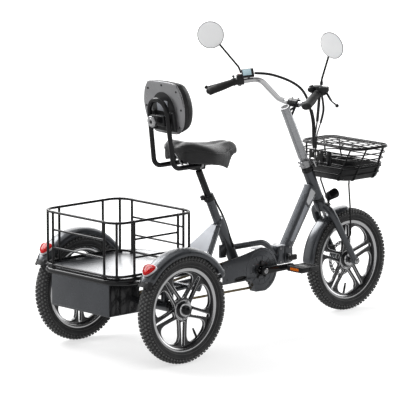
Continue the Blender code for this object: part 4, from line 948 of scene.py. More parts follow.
def chain_case(mats):
    """Moulded cover: shell with rolled edge, raised rings round the crank and a slot in its tail."""
    def outline(inset):
        radius = 0.0885 - inset
        points = [(0.405 + inset, 0.213 + inset), (0.552, 0.214 + inset), (0.570, 0.197 + inset), (0.583, 0.163 + inset)]
        for degrees in range(-75, 106, 6):
            a = math.radians(degrees)
            points.append((CRANK.x + radius * math.cos(a), CRANK.z + radius * math.sin(a)))
        return points + [(0.405 + inset, 0.2985 - inset)]

    def oval(x, z, long, high, lean=0.0):
        ring = []
        for k in range(28):
            a = 2 * math.pi * k / 28
            u, v = long * math.copysign(abs(math.cos(a)) ** 0.8, math.cos(a)), high * math.sin(a)
            ring.append((x + u * math.cos(lean) - v * math.sin(lean), z + u * math.sin(lean) + v * math.cos(lean)))
        return ring

    p = Piece(mats)
    hole = circle(0.0175, 48, (CRANK.x, CRANK.z))
    slot = oval(0.502, 0.2265, 0.030, 0.0062, 0.06)
    p.plate([outline(0), hole, slot], 0.0014, upright((0, -0.0846, 0)), "gunmetal", 0.0010)
    wall = [Vector((x, -0.0846, z)) for x, z in outline(0.0006)][:-1]
    inner = [Vector((x, -0.0846, z)) for x, z in outline(0.0030)][:-1]
    shelf = [
        [p.bm.verts.new(v + Vector((0, dy, 0))) for v in ring]
        for ring, dy in ((wall, 0.0), (wall, 0.0326), (inner, 0.0326), (inner, 0.0))
    ]
    for near, far in zip(shelf, shelf[1:]):
        for i in range(len(wall) - 1):
            p.face((near[i], near[i + 1], far[i + 1], far[i]), "gunmetal")
    for radius, wide, high in ((0.0800, 0.0030, 0.0012), (0.0590, 0.0022, 0.0010), (0.0385, 0.0030, 0.0014)):
        ring = ((radius, 0.0), (radius - wide * 0.3, high), (radius - wide * 0.7, high), (radius - wide, 0.0))
        p.lathe([(r, -h) for r, h in ring], turn_about_y(CRANK.x, -0.0859, CRANK.z), "gunmetal", 96, closed=False)
    for k in range(10):
        a = math.radians(36 * k + 8)
        near = Vector((CRANK.x + 0.041 * math.cos(a), -0.0862, CRANK.z + 0.041 * math.sin(a)))
        far = Vector((CRANK.x + 0.0560 * math.cos(a), -0.0862, CRANK.z + 0.0560 * math.sin(a)))
        p.tube([near, far], 0.0016, "gunmetal", 8)
    p.lathe(((0.0175, 0.0), (0.0185, -0.0022), (0.0235, -0.0022), (0.0245, 0.0)), turn_about_y(CRANK.x, -0.0862, CRANK.z), "plastic", 56, closed=False)
    p.plate([oval(0.502, 0.2265, 0.0320, 0.0082, 0.06), slot], 0.0006, upright((0, -0.0866, 0)), "plastic", 0.0003)
    for x, z in ((0.432, 0.281), (0.432, 0.229), (0.560, 0.306), (0.662, 0.190)):
        p.bolt((x, -0.0858, z), (0, -1, 0), 0.0042, 0.0020, "gunmetal")
    # A black plate inside the case behind the tail slot: painted shade for the hollow of the case seen through the
    # slot.
    p.plate([oval(0.502, 0.2265, 0.0330, 0.0090, 0.06)], 0.0006, upright((0, -0.0800, 0)), "plastic", 0.0003)
    for k in range(5):
        a = math.radians(72 * k + 20)
        tip = Vector((CRANK.x + 0.0330 * math.cos(a), -0.0872, CRANK.z + 0.0330 * math.sin(a)))
        p.tube([Vector((CRANK.x + 0.019 * math.cos(a), -0.0872, CRANK.z + 0.019 * math.sin(a))), tip], 0.0052, "gloss", 12, flat=0.4)
        p.bolt(tip + Vector((0, -0.001, 0)), (0, -1, 0), 0.0040, 0.0020, "gloss")
    p.done("chain_cover", "rear_frame", "gunmetal_paint", ["chain_case"])


def chain_path(count):
    """Evenly spaced points round the chainring and the rear sprocket."""
    ring = []
    for x, z, radius, start, end in ((CRANK.x, CRANK.z, 0.0695, -90, 97), (0.0, AXLE_Z, 0.0305, 97, 270)):
        for step in range(33):
            a = math.radians(start + (end - start) * step / 32)
            ring.append(Vector((x + radius * math.cos(a), CHAIN_Y, z + radius * math.sin(a))))
    ring.append(ring[0])
    lengths = [0.0]
    for near, far in zip(ring, ring[1:]):
        lengths.append(lengths[-1] + (far - near).length)
    made, at = [], 0
    for k in range(count):
        want = lengths[-1] * k / count
        while lengths[at + 1] < want:
            at += 1
        share = (want - lengths[at]) / (lengths[at + 1] - lengths[at])
        made.append(ring[at].lerp(ring[at + 1], share))
    return made


def chain(mats):
    p = Piece(mats)
    points = chain_path(118)
    for k, (near, far) in enumerate(zip(points, points[1:] + points[:1])):
        middle = (near + far) / 2
        place = facing(middle, (far - near), Vector((0, 0, 1)))
        half, gap = (far - near).length / 2, 0.0022 if k % 2 else 0.0031
        link = rounded_panel([(-half - 0.0030, -0.0040), (half + 0.0030, -0.0040), (half + 0.0030, 0.0040), (-half - 0.0030, 0.0040)], 0.0036, 2)
        for side in (1, -1):
            rows = []
            for level in (-0.0004, 0.0004):
                rows.append([place @ Vector((x, z, gap * side + level)) for x, z in link])
            p.rings(rows, "chain")
        p.rod(near + Vector((0, -0.0034, 0)), near + Vector((0, 0.0034, 0)), 0.0024, "chain", 8, 0.0002)
    p.done("roller_chain", "rear_frame", "chain_steel", ["chain"])
    p = Piece(mats)
    outline = gear_outline(0.0320, 15, 0.0045)
    p.plate([outline, circle(0.0216, 32)], 0.0013, upright((0, CHAIN_Y, AXLE_Z)), "chain", 0.0003)
    p.lathe(((0.0250, 0.0013), (0.0250, 0.0060), (0.0216, 0.0060), (0.0216, 0.0013)), turn_about_y(0, CHAIN_Y, AXLE_Z), "steel", 40)
    p.done("sprocket_with_teeth", "sprocket", "chain_steel", ["rear_sprocket"])


def fenders(mats):
    half = [
        (0.2345, 0.0), (0.2343, 0.0090), (0.2330, 0.0180), (0.2304, 0.0260), (0.2268, 0.0312),
        (0.2225, 0.0336), (0.2150, 0.0344), (0.2085, 0.0345), (0.2078, 0.0340),
    ]
    shape = guard_profile(half, 0.0016)
    for word, side in SIDES:
        p = Piece(mats)
        place = turn_about_y(0, HALF_TRACK * side, AXLE_Z)
        guard(p, shape, place, -28, -146, "gunmetal", 56)
        flap = guard_profile([(r - 0.0014, y * 0.93) for r, y in half[:-2]], 0.0022)
        guard(p, flap, place, -143, -151, "plastic", 8)
        for degrees in (33, 146):
            a = math.radians(degrees)
            for y in (0.020, -0.020):
                at = Vector((0.2326 * math.cos(a), HALF_TRACK * side + y, AXLE_Z + 0.2326 * math.sin(a)))
                p.bolt(at, (math.cos(a), y * 8, math.sin(a)), 0.0042, 0.0024)
        p.done(f"rear_guard_{word}", "rear_frame", "gunmetal_paint", [f"rear_fender_{word}"])
        tail_light(mats, word, side)
    half = [(0.2205, 0.0), (0.2203, 0.0085), (0.2192, 0.0170), (0.2170, 0.0250), (0.2140, 0.0298), (0.2110, 0.0320), (0.2098, 0.0322)]
    shape = guard_profile(half, 0.0016)
    p = Piece(mats)
    place = turn_about_y(WHEELBASE, 0, AXLE_Z)
    guard(p, shape, place, -92, -179, "gunmetal", 44)
    for degrees in (116, 125):
        a = math.radians(degrees)
        at = Vector((WHEELBASE + 0.2200 * math.cos(a), 0, AXLE_Z + 0.2200 * math.sin(a)))
        p.bolt(at, (math.cos(a), 0, math.sin(a)), 0.0042, 0.0024)
    p.done("front_guard", "fork", "gunmetal_paint", ["front_fender"])


def guard_profile(half, wall):
    """Closed section of a mudguard: its outer skin and the inner one, wall thick."""
    outer = [(r, -y) for r, y in reversed(half)] + half[1:]
    inner = [(r - wall, y * 0.955) for r, y in outer]
    return outer + list(reversed(inner))


def guard(p, shape, place, first, last, mat, steps):
    """A mudguard between two angles, narrowing a little towards both rounded ends."""
    rings = []
    for step in range(steps + 1):
        share = step / steps
        a = math.radians(first + (last - first) * share)
        end = min(share, 1 - share) * (last - first) / -123
        narrow = 1 - 0.30 * max(0.0, 1 - end / 0.035) ** 2 if steps > 20 else 1
        rings.append([place @ Vector((r * math.cos(a), r * math.sin(a), z * narrow)) for r, z in shape])
    p.rings(rings, mat)


def tail_light(mats, word, side):
    """Shield-shaped lamp: pale base, domed red lens with ribs."""
    a = math.radians(134)
    out = Vector((math.cos(a), 0, math.sin(a)))
    up = Vector((math.sin(a), 0, -math.cos(a)))
    centre = Vector((0, HALF_TRACK * side, AXLE_Z)) + out * 0.2352
    outline = (
        (-0.030, 0.020), (-0.0335, 0.008), (-0.025, -0.012), (-0.009, -0.0275), (0.009, -0.0275),
        (0.025, -0.012), (0.0335, 0.008), (0.030, 0.020), (0.014, 0.0265), (-0.014, 0.0265),
    )
    ring = smooth(outline, 5, closed=True)
    place = facing(centre, (0, 1, 0), up)
    if (place.to_3x3() @ Vector((0, 0, 1))).dot(out) < 0:
        place = place @ Matrix.Rotation(math.pi, 4, "Y")
    p = Piece(mats)
    layers = ((0.0, 1.0), (0.0046, 1.0), (0.0056, 0.965), (0.0058, 0.90))
    p.rings([[place @ Vector((x * s, y * s, h)) for x, y in ring] for h, s in layers], "trim")
    dome = ((0.0050, 0.90), (0.0075, 0.885), (0.0105, 0.82), (0.0130, 0.66), (0.0143, 0.42), (0.0148, 0.16), (0.0149, 0.04))
    p.rings([[place @ Vector((x * s, y * s, h)) for x, y in ring] for h, s in dome], "red")
    for x in (-0.016, 0.0, 0.016):
        path = [place @ Vector((x, y, h)) for y, h in ((-0.016, 0.0120), (-0.006, 0.0143), (0.006, 0.0145), (0.017, 0.0122))]
        p.tube(smooth(path, 4), 0.0011, "red", 8)
    p.done(f"tail_lamp_{word}", "rear_frame", "red_lens", [f"tail_light_{word}"])


# ---------------------------------------------------------------- crank and pedals


def crank_parts(mats):
    p = Piece(mats)
    p.rod((CRANK.x, -0.114, CRANK.z), (CRANK.x, 0.076, CRANK.z), 0.0088, "steel", 28)
    holes = [circle(0.0098, 20, (0.040 * math.cos(2 * math.pi * k / 5), 0.040 * math.sin(2 * math.pi * k / 5))) for k in range(5)]
    ring = gear_outline(0.0712, 34, 0.0050)
    p.plate([ring] + holes, 0.0014, upright((CRANK.x, CHAIN_Y, CRANK.z)), "gloss", 0.0003)
    for side, y in ((-1, -0.108), (1, 0.070)):
        arm(p, side, y)
    p.done("crank_arms_and_ring", "crank", "black_paint", ["crankset"])
    for word, side in SIDES:
        pedal(mats, word, side)


def arm(p, side, y):
    """A forged arm, thick at the crank axle and waisted before the pedal."""
    way = 1 if side < 0 else -1
    stations = ((-0.017, 0.006), (-0.013, 0.0135), (0.0, 0.0170), (0.020, 0.0150), (0.060, 0.0132), (0.110, 0.0122), (0.138, 0.0124), (0.150, 0.0112), (0.1585, 0.0050))
    rings = []
    for reach, half in stations:
        thick = 0.0062 if reach < 0.03 else 0.0056
        section = []
        for k in range(20):
            a = 2 * math.pi * k / 20
            u = math.copysign(abs(math.cos(a)) ** 0.55, math.cos(a)) * half
            v = math.copysign(abs(math.sin(a)) ** 0.55, math.sin(a)) * thick
            section.append(Vector((CRANK.x + reach * way, y + v, CRANK.z + u)))
        rings.append(section)
    p.rings(rings, "gloss")
    p.bolt((CRANK.x, y + 0.0060 * side, CRANK.z), (0, side, 0), 0.0105, 0.0036, "steel")
    p.rod((CRANK.x, y - 0.012 * side, CRANK.z), (CRANK.x, y + 0.004 * side, CRANK.z), 0.0155, "gloss", 32)


def pedal(mats, word, side):
    """Cage pedal: two serrated side plates, a ribbed body, reflectors and an axle stub."""
    x = CRANK.x + (CRANK_LENGTH if side < 0 else -CRANK_LENGTH)
    inner = (0.1149 if side < 0 else 0.0769)
    start = 0.127 if side < 0 else 0.095
    end = start + 0.086
    z = CRANK.z
    p = Piece(mats)

    def block(x0, x1, y0, y1, z0, z1, mat="plastic", bevel=0.0012):
        low_y, top_y = sorted((y0 * side, y1 * side))
        p.box((x + x0, low_y, z + z0), (x + x1, top_y, z + z1), mat, bevel=bevel)

    block(-0.046, 0.046, start, start + 0.011, -0.0100, 0.0100, bevel=0.002)
    block(-0.046, 0.046, end - 0.009, end, -0.0100, 0.0100, bevel=0.002)
    for edge in (-1, 1):
        low, top = sorted((0.0395 * edge, 0.0475 * edge))
        block(low, top, start + 0.002, end - 0.002, -0.0100, 0.0100, bevel=0.0015)
        for k in range(9):
            y0 = start + 0.004 + 0.0092 * k
            block(low + 0.0008, top - 0.0008, y0, y0 + 0.0046, -0.0110, 0.0110, bevel=0.0006)
        low, top = sorted((0.0468 * edge, 0.0484 * edge))
        block(low, top, start + 0.020, end - 0.020, -0.0052, 0.0052, "orange", 0.0007)
    block(-0.017, 0.017, start + 0.004, end - 0.004, -0.0088, 0.0088, bevel=0.004)
    for dx in (-0.028, 0.028):
        block(dx - 0.0022, dx + 0.0022, start + 0.004, end - 0.004, -0.0080, 0.0080, bevel=0.0008)
    for k in range(3):
        y0 = start + 0.020 + 0.020 * k
        block(-0.040, 0.040, y0, y0 + 0.004, -0.0080, 0.0080, bevel=0.0008)
    p.rod((x, inner * side, z), (x, (start + 0.004) * side, z), 0.0060, "steel", 20)
    p.rod((x, (start - 0.004) * side, z), (x, (start + 0.003) * side, z), 0.0085, "steel", 24)
    p.rod((x, (end - 0.001) * side, z), (x, (end + 0.0018) * side, z), 0.0082, "gloss", 24)
    p.done(f"cage_pedal_{word}", f"pedal_{word}", "black_plastic", [f"pedal_{word}"])


# ---------------------------------------------------------------- seat and backrest


def seat_parts(mats):
    p = Piece(mats)
    p.rod(seat_point(0.480), seat_point(0.6585), 0.0135, "gloss", 32)
    p.done("seat_tube_post", "seat", "black_paint", ["seat_post"])

    p = Piece(mats)
    axis = (seat_point(0.5) - seat_point(0.6)).normalized()
    middle = seat_point(0.547)
    ring = ((0.0211, 0.0105), (0.0215, 0.0095), (0.0215, -0.0095), (0.0211, -0.0105), (0.0170, -0.0110), (0.0170, 0.0110))
    p.lathe(ring, along(middle, middle + axis), "gloss", 48)
    rear = middle + Vector((-0.0216, 0, 0.001))
    p.box(rear + Vector((-0.006, 0.0035, -0.0085)), rear + Vector((0.003, 0.0095, 0.0085)), "gloss", bevel=0.0015)
    p.box(rear + Vector((-0.006, -0.0095, -0.0085)), rear + Vector((0.003, -0.0035, 0.0085)), "gloss", bevel=0.0015)
    p.done("seat_clamp_ring", "rear_frame", "brushed_steel", ["seat_collar"])

    p = Piece(mats)
    hinge = middle + Vector((-0.0330, 0, 0.002))
    p.rod(hinge - Vector((0, 0, 0.009)), hinge + Vector((0, 0, 0.009)), 0.0073, "plastic", 28)
    reach = [hinge + Vector(v) for v in ((0, 0.004, 0), (0.010, 0.022, 0), (0.048, 0.030, 0))]
    p.tube(rounded_path(reach, 0.02), 0.0045, "plastic", 16, flat=1.0)
    p.bolt(hinge + Vector((0, 0, 0.0088)), (0, 0, 1), 0.0040, 0.0024)
    p.done("seat_quick_release", "seat_clamp", "black_plastic", ["seat_clamp_lever"])

    p = Piece(mats)
    head = seat_point(0.664)
    p.box(head + Vector((-0.040, -0.022, 0.001)), head + Vector((0.022, 0.022, 0.027)), "gloss", bevel=0.006, segments=3)
    for _, side in SIDES:
        rail = [(0.262, 0.030, 0.7360), (0.292, 0.018, 0.681), (0.420, 0.018, 0.681), (0.476, 0.016, 0.7205)]
        p.tube(rounded_path(sided(rail, side), 0.02), 0.0035, "chrome", 14)
        p.nut(head + Vector((-0.008, 0.0220 * side, 0.0135)), (0, side, 0), 0.0078, 0.0060)
        spring = [(0.268, 0.052, 0.704), (0.268, 0.052, 0.738)]
        coil = []
        for k in range(61):
            a = 2 * math.pi * k / 12
            coil.append(Vector((0.280 + 0.0090 * math.cos(a), (0.058 + 0.0090 * math.sin(a)) * side, 0.706 + 0.030 * k / 60)))
        p.tube(coil, 0.0017, "gloss", 8)
        p.rod((0.280, 0.058 * side, 0.7035), (0.280, 0.058 * side, 0.7065), 0.0115, "gloss", 24)
        p.tube(sided([(0.280, 0.058, 0.7045), (0.296, 0.020, 0.6845)], side), 0.0032, "gloss", 10)
    p.tube([(0.3215, -0.0448, 0.6905), (0.3215, 0.0448, 0.6905)], 0.007, "gloss", 20)
    p.done("saddle_clamp_and_rails", "seat", "black_paint", ["saddle_base"])

    p = Piece(mats)
    half = [(0.330, 0.055, 0.6905), (0.179, 0.055, 0.6905), (0.1500, 0.050, 0.906)]
    left = rounded_path(half, 0.036, 10)
    arc = []
    for step in range(1, 24):
        a = math.pi * step / 24
        rise = 0.050 * math.sin(a)
        arc.append(Vector((0.1500 - 0.13 * rise, 0.050 * math.cos(a), 0.906 + rise)))
    right = [Vector((v.x, -v.y, v.z)) for v in reversed(left)]
    p.tube(left + arc + right, 0.0094, "gloss", 24)
    for _, side in SIDES:
        p.nut((0.3180, 0.0640 * side, 0.6905), (0, side, 0), 0.0065, 0.0045)
    p.done("backrest_bent_tube", "seat", "black_paint", ["backrest_loop"])


def saddle_section(half, top, low, under):
    """Half of a saddle cross-section, from the middle of the top round to the middle below."""
    return [
        (0, top - 0.0075), (0.30 * half, top - 0.0035), (0.60 * half, top - 0.0025), (0.84 * half, top - 0.0075),
        (0.955 * half, top - 0.0165), (half, top - 0.027), (0.985 * half, (top - 0.027 + low) / 2 + 0.002),
        (0.955 * half, low + 0.002), (0.90 * half, low), (0.80 * half, low + 0.002), (0.5 * half, under), (0, under),
    ]


def saddle_stations():
    return (
        (0.2285, 0.030, 0.768, 0.716, 0.746),
        (0.234, 0.054, 0.777, 0.709, 0.744),
        (0.250, 0.078, 0.783, 0.704, 0.741),
        (0.275, 0.101, 0.784, 0.701, 0.737),
        (0.305, 0.118, 0.777, 0.697, 0.732),
        (0.340, 0.124, 0.768, 0.692, 0.728),
        (0.385, 0.110, 0.761, 0.682, 0.724),
        (0.425, 0.088, 0.759, 0.670, 0.722),
        (0.450, 0.070, 0.760, 0.664, 0.724),
        (0.480, 0.054, 0.762, 0.690, 0.726),
        (0.515, 0.040, 0.762, 0.704, 0.728),
        (0.540, 0.028, 0.752, 0.708, 0.728),
        (0.5515, 0.015, 0.742, 0.714, 0.725),
    )


def saddle_rings(shrink=0.0):
    stations = smooth([s for s in saddle_stations()], 4)
    rings = []
    for x, half, top, low, under in stations:
        section = saddle_section(half - shrink, top - shrink, low + shrink * 0.5, under)
        section = smooth(section, 2)
        right = [Vector((x, y, z)) for y, z in section]
        left = [Vector((x, -y, z)) for y, z in reversed(section[1:-1])]
        rings.append(right + left)
    return rings


def puffed(obj, limit, pressure=4.0):
    """Swells a closed skin with cloth under pressure, with each point's way capped, then smooths it."""
    remesh = obj.modifiers.new("remesh", "REMESH")
    remesh.mode = "VOXEL"
    remesh.voxel_size = 0.005
    bake_modifiers(obj)
    rest = np.array([v.co for v in obj.data.vertices])
    cloth = obj.modifiers.new("cloth", "CLOTH")
    cloth.settings.quality = 4
    cloth.settings.mass = 0.3
    cloth.settings.use_pressure = True
    cloth.settings.uniform_pressure_force = pressure
    cloth.settings.tension_stiffness = 25
    cloth.settings.compression_stiffness = 25
    cloth.settings.effector_weights.gravity = 0
    cloth.point_cache.frame_start = 1
    cloth.point_cache.frame_end = 20
    for frame_number in range(1, 21):
        bpy.context.scene.frame_set(frame_number)
    bake_modifiers(obj)
    bpy.context.scene.frame_set(1)
    moved = np.array([v.co for v in obj.data.vertices]) - rest
    length = np.linalg.norm(moved, axis=1, keepdims=True)
    moved *= np.minimum(1.0, limit / np.maximum(length, 1e-9))
    for vertex, co in zip(obj.data.vertices, rest + moved):
        vertex.co = co
    relax = obj.modifiers.new("relax", "SMOOTH")
    relax.factor = 0.5
    relax.iterations = 6
    fine = obj.modifiers.new("fine", "SUBSURF")
    fine.levels = 1
    fine.render_levels = 1
    bake_modifiers(obj)
    obj.data.shade_smooth()
    return obj


def bake_modifiers(obj):
    bpy.context.view_layer.update()
    graph = bpy.context.evaluated_depsgraph_get()
    mesh = bpy.data.meshes.new_from_object(obj.evaluated_get(graph))
    obj.modifiers.clear()
    old, obj.data = obj.data, mesh
    bpy.data.meshes.remove(old)


def stitched(p, line, normal_of, spacing=0.0045, mat="thread"):
    """A row of short stitches along a line of points."""
    line = [Vector(v) for v in line]
    run = 0.0
    for near, far in zip(line, line[1:]):
        length = (far - near).length
        while run < length:
            at = near.lerp(far, run / length)
            way = (far - near).normalized() * spacing * 0.30
            lift = normal_of(at) * 0.0006
            p.tube([at - way + lift * 0.2, at + lift, at + way + lift * 0.2], 0.00055, mat, 6)
            run += spacing
        run -= length


def saddle(mats):
    p = Piece(mats)
    p.rings(saddle_rings(0.0025), "vinyl")
    obj = puffed(p.done("saddle_cover", None, parent_ride=False), 0.0045)
    finish_soft(obj, "saddle_cover", "seat", "saddle", mats)
    rim = Piece(mats)
    for level, mat, size in ((5, "vinyl", 0.0016),):
        edge = []
        for x, half, top, low, under in smooth([s for s in saddle_stations()], 3):
            point = saddle_section(half, top, low, under)[level]
            edge.append((x, point[0] + (0.0006 if level == 5 else -0.001), point[1] - (0 if level == 5 else 0.0002)))
        left = [Vector(v) for v in edge]
        nose = [Vector((v.x, -v.y, v.z)) for v in reversed(left)]
        rim.tube(left[2:-8], size, mat, 10)
        rim.tube(nose[8:-2], size, mat, 10)
        if level == 5:
            for way in (1, -1):
                line = [Vector((v.x, (v.y + 0.0002) * way, v.z + 0.0052)) for v in left[3:-9]]
                stitched(rim, line, lambda at, w=way: Vector((0, w, 0.35)).normalized())
    rim.done("saddle_piping_and_stitching", "seat", "black_leather")


def finish_soft(obj, name, body, node, mats):
    obj.data.materials.clear()
    obj.data.materials.append(mats["vinyl"])
    obj.location = SHIFT
    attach(obj, body)
    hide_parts(node)


def back_place(offset):
    up = Vector((-math.sin(BACK_LEAN), 0, math.cos(BACK_LEAN)))
    forward = Vector((math.cos(BACK_LEAN), 0, math.sin(BACK_LEAN)))
    return facing(Vector((0.178, 0, 0.922)) + forward * offset, (0, 1, 0), up)


def back_outline(grow=0.0):
    half = (
        (0.044, -0.101), (0.070, -0.094), (0.093, -0.073), (0.107, -0.034), (0.112, 0.012),
        (0.104, 0.055), (0.088, 0.085), (0.062, 0.101),
    )
    grown = [(x + grow, y + grow * (1 if y > 0 else -1)) for x, y in half]
    return smooth(grown + [(-x, y) for x, y in reversed(grown)], 5, closed=True)


def backrest(mats):
    p = Piece(mats)
    layers = (
        (0.0100, 0.955, 0.950, 0.0), (0.0170, 0.985, 0.980, 0.0005), (0.0280, 0.985, 0.965, 0.002),
        (0.0400, 0.970, 0.945, 0.004), (0.0520, 0.92, 0.88, 0.005), (0.0615, 0.83, 0.78, 0.006),
        (0.0680, 0.69, 0.64, 0.007), (0.0715, 0.50, 0.46, 0.008), (0.0728, 0.26, 0.22, 0.009),
    )
    rings = []
    for depth, wide, high, drop in layers:
        place = back_place(depth)
        rings.append([place @ Vector((x * wide, y * high - drop, 0)) for x, y in back_outline()])
    p.rings(rings, "vinyl")
    obj = puffed(p.done("backrest_cushion", None, parent_ride=False), 0.0035)
    finish_soft(obj, "backrest_cushion", "backrest", "backrest_pad", mats)

    rim = Piece(mats)
    place = back_place(0.0100)
    rim.tube([place @ Vector((x, y, 0)) for x, y in back_outline(-0.0005)], 0.0016, "rubber", 8, closed=True)
    place = back_place(0.0300)
    seam = [place @ Vector((x * 0.984, y * 0.962 - 0.002, 0)) for x, y in back_outline(-0.0010)]
    rim.tube(seam, 0.0013, "vinyl", 8, closed=True)
    rim.done("backrest_piping", "backrest", "black_leather")

    p = Piece(mats)
    p.plate([back_outline()], 0.0045, back_place(0.0045), "shell", 0.0022)
    screws = ((0.0, 0.089), (0.080, 0.070), (-0.080, 0.070), (0.098, 0.0), (-0.098, 0.0), (0.080, -0.070), (-0.080, -0.070))
    back = back_place(0.0)
    away = back.to_3x3() @ Vector((0, 0, -1))
    for x, y in screws:
        p.bolt(back @ Vector((x, y, 0.0002)), away, 0.0042, 0.0018, "plastic")
    # A black arch-shaped plate on the shell's back, a little wider than the bent tube above it: partly the bracket's
    # plate, partly a painted shadow of the tube on the shell.
    arch = []
    for k in range(25):
        a = math.pi * k / 24
        arch.append((0.064 * math.cos(a), -0.015 + 0.078 * math.sin(a)))
    outline = [(0.064, -0.090)] + arch + [(-0.064, -0.090)]
    inner = [(0.028, -0.086)] + [(0.028 * math.cos(math.pi * k / 16), 0.018 + 0.022 * math.sin(math.pi * k / 16)) for k in range(17)] + [(-0.028, -0.086)]
    p.plate([outline], 0.0014, back_place(-0.0016), "plastic", 0.0008)
    p.done("backrest_rear_shell_and_painted_shadow", "backrest", "silver_plastic", ["backrest_shell"])

    p = Piece(mats)
    for _, side in SIDES:
        low, top = sorted((0.0400 * side, 0.0685 * side))
        p.box((low, -0.085, -0.0165), (top, -0.010, -0.0030), "plastic", back, 0.004, 3)
    p.box((-0.068, -0.060, -0.0150), (0.068, -0.024, -0.0030), "plastic", back, 0.003)
    p.box((-0.0385, -0.062, -0.0410), (0.0385, -0.020, -0.0120), "gloss", back, 0.005, 3)
    p.box((-0.030, -0.012, -0.0070), (0.030, 0.030, -0.0028), "panel", back, 0.002)
    p.done("backrest_clamp_block", "backrest", "black_plastic", ["backrest_bracket"])

    p = Piece(mats)
    start = back @ Vector((0, -0.038, -0.0414))
    axis = (back.to_3x3() @ Vector((0, 0, 1))).normalized()
    p.rod(start - axis * 0.020, start, 0.008, "steel", 28)
    shape = ((0, 0.016), (0.06, 0.0205), (0.2, 0.0222), (0.8, 0.0222), (0.95, 0.0205), (1, 0.017))
    p.knob(start - axis * 0.017, start - axis * 0.031, shape, "steel", 56)
    p.lathe(((0.0150, 0.0), (0.0145, 0.0012), (0.0110, 0.0012), (0.0105, 0.0)), along(start - axis * 0.0308, start - axis * 0.05), "chrome", 48, closed=False)
    p.knob(start - axis * 0.0306, start - axis * 0.0318, ((0, 0.0070), (0.7, 0.0068), (1, 0.0050)), "gloss", 32)
    rim_place = along(start - axis * 0.024, start - axis * 0.05)
    for k in range(28):
        a = 2 * math.pi * k / 28
        near = rim_place @ Vector((0.0221 * math.cos(a), 0.0221 * math.sin(a), -0.0042))
        far = rim_place @ Vector((0.0221 * math.cos(a), 0.0221 * math.sin(a), 0.0042))
        p.tube([near, far], 0.0009, "steel", 6)
    p.done("clamp_knob_knurled", "knob", "brushed_steel", ["backrest_knob"])


# ---------------------------------------------------------------- front frame and fork


def front_frame(mats):
    p = Piece(mats)
    start, end = Vector((0.818, 0, 0.2895)), Vector((0.966, 0, 0.525))
    way = (end - start).normalized()
    cross = Vector((way.z, 0, -way.x))
    rings = []
    for point, h in ((start, 0.0205), (start.lerp(end, 0.5), 0.0220), (end, 0.0235)):
        ring = []
        for a, b in rounded_panel([(h, 0.020), (-h, 0.020), (-h, -0.020), (h, -0.020)], 0.0075, 5):
            ring.append(point + cross * a + Vector((0, b, 0)))
        rings.append(ring)
    p.rings(rings, "gunmetal")
    p.tube([steer_point(0.600), steer_point(0.468)], 0.022, "gunmetal", 44)
    down = (steer_point(0.4) - steer_point(0.5)).normalized()
    for z, mat in ((0.6000, "steel"), (0.4700, "steel")):
        middle = steer_point(z)
        ring = ((0.0225, -0.0045), (0.0236, -0.0035), (0.0236, 0.0035), (0.0225, 0.0045))
        p.lathe(ring, along(middle - down * (-0.0046 if z > 0.5 else 0.0046), middle - down * (-0.0046 if z > 0.5 else 0.0046) + down), "gloss", 48, closed=False)
    p.box((0.810, -0.022, 0.240), (0.846, 0.022, 0.300), "gunmetal", bevel=0.005, segments=3)
    hinge_half(p, 0.8015, 0.836, ((0.2640, 0.2860),))
    weld_ring = []
    for a, b in rounded_panel([(0.0232, 0.0202), (-0.0232, 0.0202), (-0.0232, -0.0202), (0.0232, -0.0202)], 0.0075, 5):
        weld_ring.append(end - way * 0.004 + cross * a + Vector((0, b, 0)))
    p.tube(weld_ring, 0.0022, "gunmetal", 8, closed=True)
    p.done("front_frame_tubes", "front_frame", "gunmetal_paint", ["front_frame"])

    p = Piece(mats)
    for side in (1, -1):
        origin = start.lerp(end, 0.5) + Vector((0, 0.0204 * side, 0))
        place = facing(origin, way, cross)
        shape = rounded_panel([(-0.104, -0.0075), (0.060, -0.0100), (0.052, 0.0100), (-0.096, 0.0075)], 0.004)
        p.plate([shape], 0.0006, place, "panel", 0.0003)
        corner = rounded_panel([(0.070, -0.0100), (0.128, -0.0165), (0.122, 0.0150), (0.062, 0.0100)], 0.004)
        p.plate([corner], 0.0006, place, "pale", 0.0003)
        # Two thin pale lines along each side's upper edge: painted highlights of the tube's edge.
        for shift in (0.0, -0.0050):
            line = rounded_panel([(-0.118, 0.0155 + shift), (0.110, 0.0190 + shift), (0.110, 0.0200 + shift), (-0.118, 0.0165 + shift)], 0.0004, 2)
            p.plate([line], 0.0005, place, "pale", 0.0002)
    p.done("down_tube_panels_and_painted_highlights", "front_frame", "silver_deck")

    p = Piece(mats)
    p.box((0.806, -0.0450, 0.2505), (0.850, -0.0270, 0.2735), "plastic", bevel=0.006, segments=3)
    p.rod((0.812, -0.0360, 0.246), (0.812, -0.0360, 0.280), 0.0062, "steel", 24)
    for x in (0.822, 0.829, 0.836):
        p.box((x, -0.0462, 0.2545), (x + 0.003, -0.0440, 0.2695), "plastic", bevel=0.0008)
    p.done("fold_lever_moulded", "fold_latch", "black_plastic", ["fold_latch_lever"])


